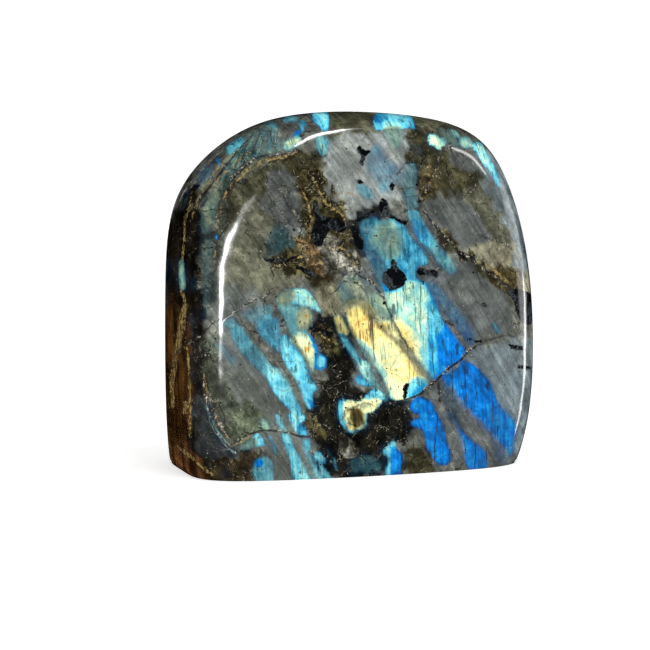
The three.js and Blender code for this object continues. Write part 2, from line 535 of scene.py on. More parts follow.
# %% Flash on the glass: hue, glow, softness in millimetres, outline
FLASHES = {
    "main field": (CYAN, 0.95, 0.6, [
        (362, 229), (366, 220), (373, 217), (381, 221), (390, 218), (398, 220), (403, 227), (404, 236),
        (411, 242), (418, 249), (424, 256), (426, 262), (418, 264), (413, 270), (416, 279), (428, 283),
        (437, 288), (441, 300), (441, 318), (449, 328), (456, 338), (464, 348), (465, 353), (456, 362),
        (446, 370), (437, 378), (428, 379), (420, 368), (408, 352), (398, 340), (388, 328), (378, 321),
        (373, 312), (375, 302), (383, 295), (385, 288), (380, 280), (374, 268), (368, 256), (363, 243)]),
    "upper lobe": (0.4, 0.66, 1.6, [
        (363, 222), (382, 222), (400, 222), (412, 242), (424, 257), (414, 264), (408, 280), (384, 283),
        (374, 262), (365, 244)]),
    "haze above slab": (0.5, 0.26, 3.0, [
        (342, 286), (352, 280), (364, 285), (376, 292), (384, 300), (388, 312), (380, 320), (368, 312),
        (356, 306), (346, 300)]),
    "haze beside seam": (0.5, 0.16, 2.0, [
        (352, 284), (360, 282), (368, 290), (374, 300), (366, 304), (358, 296)]),
    "mint sliver": (0.6, 0.48, 1.4, [
        (368, 298), (378, 297), (385, 306), (388, 316), (391, 322), (384, 328), (376, 319), (370, 309)]),
    "yellow field": (GOLD, 1.0, 0.6, [
        (349, 311), (354, 305), (361, 306), (368, 314), (375, 322), (386, 322), (392, 323), (398, 334),
        (406, 346), (413, 356), (420, 367), (427, 377), (428, 383), (424, 390), (414, 397), (402, 400),
        (392, 398), (386, 389), (380, 377), (373, 363), (364, 351), (357, 342), (351, 332), (348, 320)]),
    "slab top fade": (0.78, 0.28, 1.6, [
        (346, 306), (354, 301), (364, 304), (373, 314), (372, 320), (364, 315), (356, 311), (350, 314)]),
    "yellow scrap": (0.86, 0.62, 1.0, [
        (335, 318), (340, 317), (345, 325), (348, 333), (342, 335), (337, 328)]),
    "blue left of drop": (0.34, 0.4, 1.2, [
        (362, 229), (366, 221), (372, 219), (371, 234), (374, 248), (382, 260), (384, 272), (384, 290),
        (376, 274), (370, 260), (364, 245)]),
    "blue right of drop": (0.32, 0.7, 1.6, [
        (404, 238), (412, 241), (421, 250), (426, 261), (414, 266), (411, 282), (404, 278), (403, 262)]),
    "blue under drop": (0.2, 1.0, 0.5, [
        (384, 286), (390, 291), (397, 291), (404, 286), (404, 291), (396, 295), (387, 292)]),
    "green tan core": (0.58, 0.42, 3.0, [
        (378, 232), (385, 226), (393, 231), (397, 240), (396, 249), (390, 253), (383, 246), (378, 240)]),
    "mint field": (MINT, 0.88, 0.9, [
        (384, 296), (392, 294), (402, 291), (408, 283), (420, 286), (428, 291), (431, 304), (432, 330),
        (431, 352), (430, 374), (424, 368), (415, 358), (404, 344), (396, 330), (389, 315), (385, 303)]),
    "lemon field": (0.72, 0.95, 1.4, [
        (393, 322), (402, 318), (408, 322), (415, 332), (420, 346), (422, 360), (416, 354), (404, 341),
        (396, 331)]),
    "mint bright": (0.6, 1.1, 1.4, [
        (404, 308), (424, 306), (430, 322), (424, 332), (414, 328), (404, 318)]),
    "gold tip": (0.84, 1.0, 1.2, [
        (394, 326), (402, 325), (408, 330), (412, 342), (412, 350), (404, 341), (397, 332)]),
    "mint hem right": (0.56, 1.1, 0.8, [
        (420, 328), (429, 322), (430, 350), (428, 368), (422, 362), (422, 346)]),
    "vivid blue wing": (BLUE, 1.0, 0.7, [
        (432, 286), (438, 290), (441, 306), (443, 320), (450, 329), (458, 340), (465, 351), (456, 362),
        (445, 370), (436, 378), (431, 378), (432, 360), (433, 340), (435, 326), (434, 306), (431, 294)]),
    "azure above wing": (0.36, 0.95, 1.0, [
        (430, 302), (436, 304), (441, 314), (441, 328), (434, 332), (430, 320)]),
    "azure beside wing": (0.32, 1.25, 0.7, [
        (430, 332), (434, 330), (436, 346), (435, 362), (432, 378), (428, 378), (430, 358)]),
    "gold slab left": (0.92, 1.0, 1.4, [
        (352, 313), (358, 309), (364, 314), (371, 326), (374, 340), (368, 346), (360, 338), (354, 328)]),
    "pale slab": (0.78, 1.05, 1.6, [
        (376, 346), (386, 342), (398, 352), (402, 366), (398, 380), (390, 378), (382, 366)]),
    "mint hem": (0.58, 0.9, 0.9, [
        (357, 341), (363, 343), (371, 350), (377, 361), (384, 374), (391, 388), (396, 397), (390, 397),
        (384, 386), (378, 374), (371, 362), (363, 352)]),
    "lemon toe": (LEMON, 1.0, 0.8, [
        (386, 380), (400, 384), (414, 382), (420, 376), (410, 394), (396, 398)]),
    "cyan toe": (CYAN, 1.0, 0.8, [(406, 397), (411, 386), (416, 380), (423, 380), (427, 385), (420, 393)]),
    "azure toe": (AZURE, 1.0, 0.5, [(410, 394), (418, 388), (424, 384), (422, 390), (412, 398)]),
    "mint left hem": (0.42, 0.6, 0.8, [
        (341, 335), (348, 341), (356, 352), (363, 361), (368, 370), (362, 368), (353, 356), (345, 346)]),
    "small mint": (0.58, 1.0, 0.5, [
        (359, 366), (364, 361), (370, 366), (374, 376), (373, 385), (366, 379), (360, 372)]),
    "small cyan": (0.36, 1.0, 0.4, [
        (354, 378), (358, 374), (364, 380), (371, 384), (372, 387), (362, 387), (356, 384)]),
    "teal under slab": (CYAN, 0.36, 0.9, [
        (372, 368), (380, 378), (388, 394), (386, 402), (377, 392), (371, 380)]),
    "lower lobe": (0.48, 0.75, 0.4, [
        (340, 403), (346, 400), (354, 403), (363, 405), (368, 411), (367, 420), (365, 428), (359, 432),
        (351, 434), (344, 428), (340, 416)]),
    "lower lobe heart": (0.74, 0.8, 1.0, [
        (345, 406), (354, 406), (362, 408), (364, 415), (362, 423), (356, 428), (350, 428), (345, 419)]),
    "lower lobe core": (0.9, 0.25, 0.8, [
        (352, 409), (358, 409), (361, 415), (361, 424), (357, 427), (353, 419)]),
    "lower lemon": (LEMON, 1.0, 0.3, [
        (344, 403), (350, 400), (357, 402), (364, 399), (371, 395), (376, 392), (382, 396), (382, 403),
        (376, 409), (370, 414), (364, 412), (358, 408), (352, 408), (346, 411), (342, 408)]),
    "lower cyan rim": (CYAN, 1.0, 0.3, [
        (339, 402), (344, 399), (343, 408), (344, 418), (346, 428), (341, 424), (338, 412)]),
    "lower cyan brow": (CYAN, 1.0, 0.4, [
        (366, 396), (375, 390), (383, 396), (382, 400), (375, 397), (368, 400)]),
    "diagonal strip": (0.39, 0.55, 0.9, [
        (408, 209), (413, 208), (419, 215), (426, 227), (434, 239), (441, 249), (447, 258), (452, 269),
        (446, 269), (438, 260), (430, 250), (422, 240), (415, 229), (410, 219)]),
    "strip vivid part": (0.28, 0.62, 1.4, [
        (413, 221), (419, 224), (424, 232), (427, 242), (422, 240), (416, 232)]),
    "strip dull foot": (0.44, 0.5, 1.2, [
        (434, 249), (443, 252), (450, 261), (455, 271), (450, 272), (441, 262)]),
    "strip above": (0.4, 0.3, 1.0, [
        (401, 176), (406, 168), (409, 162), (416, 164), (416, 178), (414, 190), (417, 202), (413, 209),
        (408, 206), (403, 196), (405, 186), (400, 183)]),
    "dull blue band": (0.22, 0.34, 2.0, [
        (430, 284), (438, 288), (448, 302), (459, 314), (467, 324), (473, 336), (472, 342), (465, 338),
        (458, 328), (448, 316), (441, 304), (434, 294)]),
    "pale blue top": (0.3, 0.34, 1.8, [
        (369, 158), (377, 146), (384, 160), (396, 166), (402, 172), (397, 180), (389, 190), (381, 189),
        (376, 177), (369, 170)]),
    "pale blue spot": (CYAN, 0.45, 1.0, [(356, 185), (365, 185), (372, 192), (372, 199), (362, 196)]),
    "top cyan": (0.43, 1.5, 0.25, [
        (373, 119), (376, 114), (382, 111), (391, 112), (403, 114), (410, 118), (414, 124), (415, 129),
        (409, 128), (403, 130), (396, 132), (387, 132), (378, 131), (373, 127)]),
    "top azure lip": (AZURE, 0.95, 0.5, [(375, 116), (384, 111), (388, 118), (382, 121), (376, 122)]),
    "top mint tail": (MINT, 0.4, 1.2, [(384, 130), (399, 130), (402, 140), (396, 148), (388, 140)]),
    "mint gem": (0.62, 1.2, 0.3, [
        (427, 139), (430, 134), (436, 135), (443, 138), (445, 143), (440, 149), (434, 146), (429, 143)]),
    "mint bead": (MINT, 0.8, 0.3, [(449, 129), (456, 131), (460, 137), (454, 135)]),
    "mint drop": (MINT, 0.8, 0.3, [(458, 139), (464, 136), (470, 141), (473, 146), (466, 148), (460, 144)]),
    "mint haze": (MINT, 0.35, 1.0, [(440, 131), (448, 133), (457, 143), (450, 142)]),
    "edge streak": (0.48, 1.3, 0.35, [
        (472, 146), (477, 142), (482, 145), (489, 157), (495, 170), (500, 187), (494, 181), (485, 167),
        (477, 155)]),
    "edge streak core": (0.56, 1.5, 0.6, [
        (476, 147), (482, 150), (489, 161), (494, 174), (488, 169), (480, 157)]),
    "top notch": (0.42, 1.55, 0.25, [
        (313, 112), (321, 110), (328, 112), (330, 120), (329, 128), (324, 132), (318, 125), (313, 119)]),
    "under notch": (CYAN, 0.6, 0.7, [
        (316, 138), (322, 135), (329, 140), (327, 152), (322, 155), (317, 148)]),
    "top comb": (CYAN, 0.65, 0.4, [(282, 118), (290, 114), (296, 116), (298, 122), (289, 124), (284, 123)]),
    "top spark": (0.38, 0.9, 0.4, [(300, 122), (305, 122), (306, 130), (300, 132)]),
    "top vivid": (BLUE, 1.0, 0.3, [(292, 134), (300, 129), (301, 135), (298, 138), (293, 137)]),
    "top pale": (0.6, 0.8, 0.8, [(284, 143), (292, 138), (300, 138), (297, 145), (289, 149), (284, 148)]),
    "top teal": (CYAN, 0.6, 0.8, [(263, 129), (270, 122), (277, 127), (275, 138), (268, 137)]),
    "shoulder teal": (0.5, 0.1, 1.6, [
        (234, 144), (254, 131), (266, 130), (274, 140), (279, 150), (268, 156), (257, 162), (247, 169),
        (237, 177), (228, 184), (221, 195), (217, 206), (213, 198), (219, 184), (226, 172), (229, 161)]),
    "shoulder comb": (0.46, 0.22, 1.4, [
        (228, 160), (236, 147), (250, 137), (262, 131), (276, 136), (280, 148), (262, 152), (246, 160),
        (232, 170)]),
    "shoulder cyan": (CYAN, 0.75, 0.8, [
        (227, 152), (230, 145), (238, 140), (243, 140), (239, 148), (233, 154)]),
    "shoulder spark": (AZURE, 1.0, 0.3, [(216, 160), (220, 159), (220, 167), (217, 167)]),
    "shoulder dull blue": (0.24, 0.3, 1.2, [(199, 174), (208, 166), (214, 171), (209, 180), (200, 183)]),
    "left pale strip": (MINT, 0.22, 1.2, [
        (213, 195), (216, 205), (211, 218), (206, 232), (202, 226), (205, 210)]),
    "left teal strip": (CYAN, 0.15, 1.0, [
        (205, 240), (210, 243), (211, 262), (209, 280), (208, 300), (207, 316), (204, 312), (205, 280),
        (204, 258)]),
    "left blue spot": (AZURE, 0.9, 0.2, [(213, 237), (218, 235), (218, 240), (214, 241)]),
    "left vein glass": (MINT, 0.7, 0.3, [
        (180, 262), (184, 262), (185, 278), (184, 290), (180, 288), (179, 275)]),
    "left low glint": (CYAN, 0.5, 0.2, [(190, 402), (191, 402), (192, 416), (191, 418)]),
    "low arc glint": (0.62, 0.7, 0.25, [
        (204, 404), (206, 404), (212, 420), (221, 434), (233, 450), (232, 452), (220, 438), (210, 422)]),
    "left tall glint": (CYAN, 0.3, 0.2, [(190, 320), (192, 320), (193, 336), (191, 338)]),
    "left comb": (CYAN, 0.36, 0.8, [(222, 321), (234, 319), (236, 327), (227, 328)]),
    "left dim teal": (0.34, 0.28, 0.8, [
        (216, 344), (221, 344), (229, 352), (236, 361), (231, 363), (222, 354)]),
    "stripe a dull": (0.42, 0.5, 0.8, [
        (231, 331), (238, 325), (245, 330), (253, 341), (262, 351), (270, 362), (274, 369), (272, 381),
        (262, 373), (251, 362), (241, 351), (234, 341)]),
    "stripe a bright": (0.44, 0.95, 0.7, [
        (270, 368), (276, 366), (284, 372), (290, 383), (295, 393), (300, 403), (302, 412), (297, 416),
        (290, 409), (282, 401), (275, 392), (270, 382)]),
    "stripe b head": (0.38, 0.3, 1.0, [
        (242, 314), (254, 307), (270, 305), (272, 314), (262, 318), (252, 322)]),
    "stripe b dull": (0.36, 0.56, 0.4, [
        (256, 323), (262, 317), (270, 314), (279, 318), (282, 330), (282, 345), (281, 354), (274, 349),
        (266, 341), (259, 333)]),
    "stripe b bright": (0.44, 1.0, 0.4, [
        (281, 346), (282, 336), (287, 334), (294, 344), (301, 355), (307, 366), (311, 377), (315, 383),
        (317, 389), (313, 395), (315, 403), (311, 410), (305, 402), (299, 389), (292, 376), (284, 362)]),
    "green plate": (0.5, 0.56, 0.6, [
        (279, 305), (288, 304), (298, 307), (308, 311), (310, 318), (307, 326), (302, 333), (296, 336),
        (290, 333), (286, 325), (281, 315)]),
    "lemon edge": (0.72, 0.4, 1.6, [(302, 311), (309, 312), (309, 321), (304, 330), (300, 322)]),
    "ridge rim": (AZURE, 1.0, 0.4, [
        (303, 331), (308, 334), (314, 343), (318, 350), (316, 354), (310, 346), (304, 338)]),
    "lemon ridge": (LEMON, 0.92, 0.4, [
        (291, 339), (297, 334), (303, 332), (309, 340), (313, 350), (313, 361), (312, 372), (309, 368),
        (304, 358), (298, 348)]),
    "blue disc": (0.24, 1.0, 0.25, [
        (314, 361), (316, 356), (321, 354), (326, 357), (327, 363), (324, 369), (318, 370), (314, 367)]),
    "disc heart": (CYAN, 1.0, 0.6, [(318, 358), (323, 358), (323, 364), (319, 365)]),
    "third disc": (AZURE, 0.85, 0.3, [(309, 399), (314, 402), (316, 407), (312, 406)]),
    "pale wedge": (0.54, 0.88, 0.6, [
        (280, 299), (285, 295), (291, 290), (299, 288), (307, 290), (313, 297), (317, 305), (320, 313),
        (313, 309), (305, 306), (295, 304), (286, 302)]),
    "wedge tan end": (0.66, 0.4, 1.2, [(277, 301), (282, 295), (290, 290), (293, 298), (286, 302)]),
    "tip": (0.46, 1.1, 0.5, [
        (288, 416), (293, 413), (300, 413), (306, 418), (300, 425), (296, 431), (291, 424)]),
    "tip fan": (0.34, 0.9, 0.4, [(298, 427), (302, 423), (307, 429), (308, 436), (302, 438), (298, 433)]),
    "low stripe 1": (MINT, 0.55, 0.5, [(260, 422), (264, 419), (270, 430), (263, 430)]),
    "low stripe 2": (0.5, 0.78, 0.4, [(275, 416), (281, 416), (287, 431), (280, 431)]),
    "low stripe 3": (CYAN, 0.6, 0.3, [(267, 437), (271, 437), (277, 448), (275, 454), (270, 447)]),
    "low stripe 4": (0.46, 0.85, 0.4, [
        (281, 434), (290, 434), (297, 450), (305, 464), (311, 482), (294, 482), (289, 460), (283, 442)]),
    "low stripe 5": (CYAN, 0.7, 0.3, [(301, 440), (309, 438), (311, 447), (306, 453), (302, 447)]),
    "low stripe 6": (0.44, 0.72, 0.35, [
        (300, 446), (306, 447), (313, 460), (319, 470), (323, 482), (313, 482), (306, 466)]),
    "low stripe 7": (CYAN, 0.75, 0.3, [(312, 456), (317, 451), (325, 459), (325, 464), (316, 462)]),
    "low stripe 8": (0.46, 0.7, 0.35, [(317, 462), (325, 467), (333, 482), (324, 482)]),
    "low stripe 9": (CYAN, 0.5, 0.4, [(329, 452), (335, 459), (338, 470), (332, 464)]),
    "low left patch": (CYAN, 0.8, 0.3, [(252, 438), (258, 433), (264, 444), (259, 447), (254, 445)]),
    "low left haze": (MINT, 0.4, 0.6, [(239, 447), (252, 440), (254, 445), (245, 450)]),
    "foot teal": (0.44, 0.5, 0.8, [(255, 461), (262, 457), (270, 460), (274, 484), (260, 484), (253, 474)]),
    "foot spark": (BLUE, 1.0, 0.4, [(255, 462), (260, 459), (262, 464), (257, 467)]),
    "right blue 1": (BLUE, 1.0, 0.45, [
        (440, 380), (451, 370), (461, 364), (470, 365), (478, 371), (485, 382), (490, 395), (495, 406),
        (503, 417), (511, 428), (511, 441), (506, 457), (497, 447), (484, 432), (471, 418), (460, 405),
        (450, 393)]),
    "right blue 1 dim": (0.16, 0.76, 3.0, [
        (490, 402), (500, 412), (512, 428), (510, 442), (506, 456), (500, 452), (496, 436), (492, 420)]),
    "right blue 1 dark": (0.04, 0.95, 1.6, [
        (464, 362), (476, 370), (488, 384), (494, 400), (488, 398), (478, 382), (468, 372)]),
    "right blue 2": (BLUE, 1.0, 0.4, [
        (419, 397), (429, 400), (436, 411), (442, 424), (446, 438), (450, 452), (450, 464), (441, 466),
        (431, 456), (425, 443), (421, 431), (411, 426), (412, 419), (419, 417), (411, 409), (413, 402)]),
    "right blue 3": (BLUE, 0.75, 0.6, [
        (447, 411), (454, 418), (461, 429), (469, 438), (478, 446), (486, 454), (486, 467), (472, 470),
        (464, 458), (460, 443), (456, 430), (451, 420)]),
    "low teal": (CYAN, 0.75, 0.4, [
        (386, 446), (392, 440), (397, 444), (398, 452), (394, 462), (392, 478), (384, 476), (387, 460),
        (381, 452)]),
    "low blue": (BLUE, 0.95, 0.4, [(392, 448), (398, 450), (403, 456), (402, 468), (398, 478), (391, 474)]),
    "low teal haze": (CYAN, 0.2, 1.0, [(352, 462), (364, 457), (378, 462), (378, 472), (354, 472)]),
    "right fleck": (CYAN, 0.5, 0.5, [(493, 323), (499, 327), (500, 333), (495, 331)]),
    "blue beside heart": (BLUE, 0.9, 0.3, [(312, 338), (316, 343), (317, 351), (314, 349)]),
}

# %% Orange spots in the flash: centre and radius in pixels
ORANGE_SPOTS = [((306, 316), 1.5), ((307, 349), 2.2), ((371, 327), 1.6)]
SOFT_ENOUGH, SPREAD_OF_SOFT = 0.45, 0.6

flash_depth = np.full(vertex_count, FAR_OUTSIDE)
flash_hue = np.full(vertex_count, AZURE)
flash_glow = np.zeros(vertex_count)
for hue, glow, softness, outline in FLASHES.values():
    depth = patch_depth(glass_for_marks, outline)
    cover = soft_cover(depth, softness)
    flash_hue = laid_over(flash_hue, cover, hue)
    flash_glow = laid_over(flash_glow, cover, glow)
    flash_depth = np.maximum(flash_depth, depth + softness * SPREAD_OF_SOFT * (softness > SOFT_ENOUGH))
for (spot_x, spot_y), radius in ORANGE_SPOTS:
    gap = np.hypot(photo_flat[:, 0] - spot_x, photo_flat[:, 1] - spot_y)
    cover = soft_cover(radius - gap, radius) * (photo_facing > 0)
    flash_hue = laid_over(flash_hue, cover, ORANGE)
print(len(FLASHES), "patches of flash in sight")

# %% Teeth of the dim comb on the shoulder: a line for each, in pixels, and their one width, hue and glow
COMB_TEETH = [
    [(276, 126), (272, 138), (270, 151)], [(283, 130), (281, 140), (279, 151)],
    [(266, 131), (261, 144), (257, 157)], [(258, 134), (251, 147), (246, 161)],
    [(250, 138), (243, 152), (238, 166)], [(243, 146), (236, 159), (230, 173)],
    [(236, 152), (228, 165), (222, 179)],
]
TOOTH_WIDTH, TOOTH_HUE, TOOTH_GLOW, TOOTH_SOFTNESS = 2.4, 0.48, 0.36, 0.4

for line in COMB_TEETH:
    depth = stroke_depth(glass_for_marks, TOOTH_WIDTH, line)
    cover = soft_cover(depth, TOOTH_SOFTNESS)
    flash_hue = laid_over(flash_hue, cover, TOOTH_HUE)
    flash_glow = np.maximum(flash_glow, TOOTH_GLOW * cover)
    flash_depth = np.maximum(flash_depth, depth)
print(len(COMB_TEETH), "teeth")

# %% Guessed flash of the hidden sides: stripes along the layers, broken up by a rounder noise
STRIPE_THRESHOLD, STRIPE_STEEPNESS = 0.24, 8
OUT_OF_REACH = 3

striped = field((6, 26, 24), 11.2) + 0.6 * field((7, 7, 7), 12.4)
guessed_depth = (striped - STRIPE_THRESHOLD) * STRIPE_STEEPNESS
guessed_hue = np.clip(0.3 + 1.1 * field((14, 14, 14), 13.6), 0.08, 0.9)
guessed_glow = np.clip(0.75 + 1.1 * field((10, 10, 16), 14.8), 0.2, 1)
hidden = 1 - seen
flash_depth = np.maximum(flash_depth - OUT_OF_REACH * hidden, guessed_depth - OUT_OF_REACH * seen)
flash_hue = laid_over(flash_hue, hidden, guessed_hue)
flash_glow = laid_over(flash_glow, hidden, guessed_glow)
print("share of the skin with flash:", round(float(np.mean(flash_depth > 0)), 3))

# %% [markdown]
# Grey bands cut the flash where the layers are twinned and turn their colour away. They all run down to
# the right. Black grains are ilmenite and amphibole. The golden veins are cracks that iron-bearing water
# has stained.

# %% Grey bands on the glass: width in pixels, line
GREY_BANDS = {
    "band a": (7.5, [
        (243, 316), (252, 330), (258, 340), (267, 350), (275, 360), (283, 370), (292, 381), (297, 390),
        (302, 400), (308, 412)]),
    "band b": (1.6, [(280, 312), (285, 322), (290, 332), (296, 342), (301, 352), (306, 362), (309, 372)]),
    "band c": (2.4, [
        (372, 283), (383, 296), (387, 306), (390, 318), (396, 331), (403, 343), (411, 354), (418, 363)]),
    "band d": (3.6, [(366, 312), (373, 320), (382, 329), (391, 337), (400, 346), (408, 355)]),
    "band d wide": (9.0, [(396, 339), (404, 347), (411, 356), (418, 365), (425, 374), (434, 386)]),
    "band e": (4.5, [
        (343, 312), (349, 328), (355, 341), (364, 351), (371, 361), (376, 373), (383, 386), (387, 394)]),
    "band f": (12, [(438, 378), (448, 392), (458, 406), (470, 420), (484, 434), (498, 450), (510, 462)]),
    "band g": (8.5, [(434, 392), (444, 406), (451, 420), (456, 436), (460, 452), (462, 472)]),
    "band h": (6.5, [(280, 412), (288, 424), (294, 436), (300, 448), (306, 462), (314, 480)]),
    "band i": (3.0, [(440, 304), (448, 318), (456, 330), (464, 342)]),
    "band j": (3.0, [(316, 296), (322, 308), (330, 318), (338, 330)]),
    "band k": (1.6, [(370, 316), (371, 330), (373, 346), (374, 362)]),
    "lobe ray 1": (1.4, [(354, 408), (347, 412), (343, 420)]),
    "lobe ray 2": (1.6, [(355, 408), (351, 419), (348, 431)]),
    "lobe ray 3": (1.8, [(356, 408), (356, 420), (357, 432)]),
    "lobe ray 4": (1.8, [(357, 408), (361, 418), (364, 429)]),
}

# %% Black grains on the glass: outline
BLACK_GRAINS = {
    "top ink": [
        (357, 150), (360, 144), (363, 149), (370, 150), (373, 148), (370, 153), (365, 158), (363, 166),
        (359, 163), (361, 156)],
    "ink under top": [(355, 180), (361, 179), (362, 183), (357, 183)],
    "ink beside strip": [(391, 182), (395, 184), (394, 190), (391, 192)],
    "ink above ridge": [(382, 197), (386, 200), (388, 206), (383, 205)],
    "dark ridge": [(380, 200), (386, 203), (388, 211), (395, 217), (390, 219), (383, 213), (378, 208)],
    "ridge line": [(392, 216), (400, 219), (408, 222), (404, 225), (396, 221)],
    "ridge line left": [(356, 220), (364, 215), (374, 209), (376, 211), (365, 218), (357, 223)],
    "dark cheek": [(349, 226), (354, 226), (358, 232), (363, 241), (362, 249), (356, 247), (352, 236)],
    "drop": [
        (393, 258), (397, 262), (398, 268), (403, 273), (406, 280), (403, 286), (397, 290), (390, 290),
        (385, 286), (382, 280), (384, 272), (390, 267), (391, 261)],
    "paw": [
        (415, 271), (420, 267), (427, 270), (434, 269), (438, 272), (437, 278), (430, 276), (424, 275),
        (418, 275)],
    "paw dot": [(421, 281), (424, 281), (424, 284), (421, 284)],
    "slit": [(456, 252), (464, 253), (468, 257), (477, 254), (474, 259), (466, 260), (460, 257)],
    "small eye": [(460, 239), (464, 238), (464, 240), (461, 241)],
    "small eye 2": [(473, 245), (477, 245), (477, 248), (474, 247)],
    "right ink": [
        (508, 292), (514, 288), (524, 290), (534, 298), (534, 314), (529, 325), (519, 319), (514, 304)],
    "rim fleck": [(518, 366), (530, 367), (530, 370), (518, 369)],
    "right ink 2": [(508, 344), (516, 346), (524, 347), (523, 351), (512, 350)],
    "heart ink 1": [(309, 327), (318, 328), (328, 331), (335, 334), (330, 338), (320, 333), (311, 331)],
    "heart ink 2": [(322, 319), (325, 319), (325, 325), (321, 325)],
    "centre ink": [
        (313, 202), (318, 200), (321, 214), (331, 217), (341, 219), (346, 227), (342, 233), (332, 230),
        (326, 239), (321, 247), (314, 246), (311, 235), (315, 220)],
    "thin streak": [
        (262, 256), (273, 259), (285, 258), (298, 256), (309, 255), (300, 260), (286, 262), (270, 262)],
    "thin streak 2": [(290, 264), (305, 268), (322, 277), (314, 276), (300, 271)],
    "crack ink": [(405, 386), (410, 384), (408, 392), (406, 400), (403, 396)],
    "dot 1": [(383, 302), (386, 301), (387, 304), (384, 305)],
    "dot 2": [(480, 303), (486, 302), (487, 306), (482, 306)],
    "dot 3": [(468, 337), (472, 336), (472, 340), (468, 340)],
    "dot 4": [(474, 340), (482, 340), (480, 343), (475, 343)],
    "dot 5": [(292, 229), (296, 229), (295, 233), (292, 232)],
}

# %% Golden veins on the glass: width in pixels, line
GOLD_VEINS = {
    "side vein top": (1.6, [(192, 192), (190, 208), (185, 222), (184, 236), (183, 262)]),
    "side vein": (2.4, [(180, 284), (184, 300), (183, 312)]),
    "side vein wide": (6, [(185, 300), (183, 316), (181, 330), (178, 342), (176, 354)]),
    "side vein low": (3.4, [(175, 350), (174, 366), (172, 384), (173, 408)]),
    "side vein foot": (2.6, [(186, 344), (189, 366), (189, 388), (190, 412), (190, 436)]),
    "side spot": (4, [(183, 402), (186, 406), (184, 412)]),
    "corner vein": (2.6, [(178, 446), (190, 456), (202, 466), (214, 476)]),
    "low left line": (1.2, [(232, 446), (242, 441), (252, 434), (264, 430)]),
    "low arc gold": (2.0, [(203, 372), (206, 392), (212, 409), (220, 425), (230, 441)]),
    "second vein": (1.8, [(217, 228), (218, 245), (214, 256), (212, 272), (210, 286)]),
    "shoulder vein": (1.8, [(213, 186), (222, 176), (232, 168), (240, 160), (254, 151)]),
    "shoulder vein 2": (2.2, [(236, 182), (246, 172), (258, 165), (268, 160), (284, 156), (300, 150)]),
    "outer vein": (1.4, [(191, 222), (197, 206), (204, 190), (213, 175), (222, 164), (232, 155)]),
    "second vein top": (1.8, [(217, 230), (219, 214), (222, 200), (231, 185), (245, 174)]),
    "centre flaw 1": (1.5, [(296, 180), (302, 192), (309, 206), (311, 224), (310, 240)]),
    "centre flaw 2": (1.6, [(316, 182), (322, 196), (330, 206), (341, 214), (347, 220)]),
    "centre flaw 3": (1.4, [(288, 262), (298, 258), (310, 256), (318, 260), (326, 270)]),
    "centre flaw 4": (1.4, [(322, 252), (340, 248), (350, 258), (356, 268)]),
    "centre flaw 5": (1.2, [(326, 200), (334, 196), (344, 192), (356, 196)]),
    "cap flaw": (1.2, [(424, 196), (428, 186), (434, 176), (438, 166)]),
    "heart flaw": (1.2, [(316, 330), (328, 340), (338, 344)]),
    "right flaw": (2.2, [(484, 262), (496, 272), (508, 282)]),
}

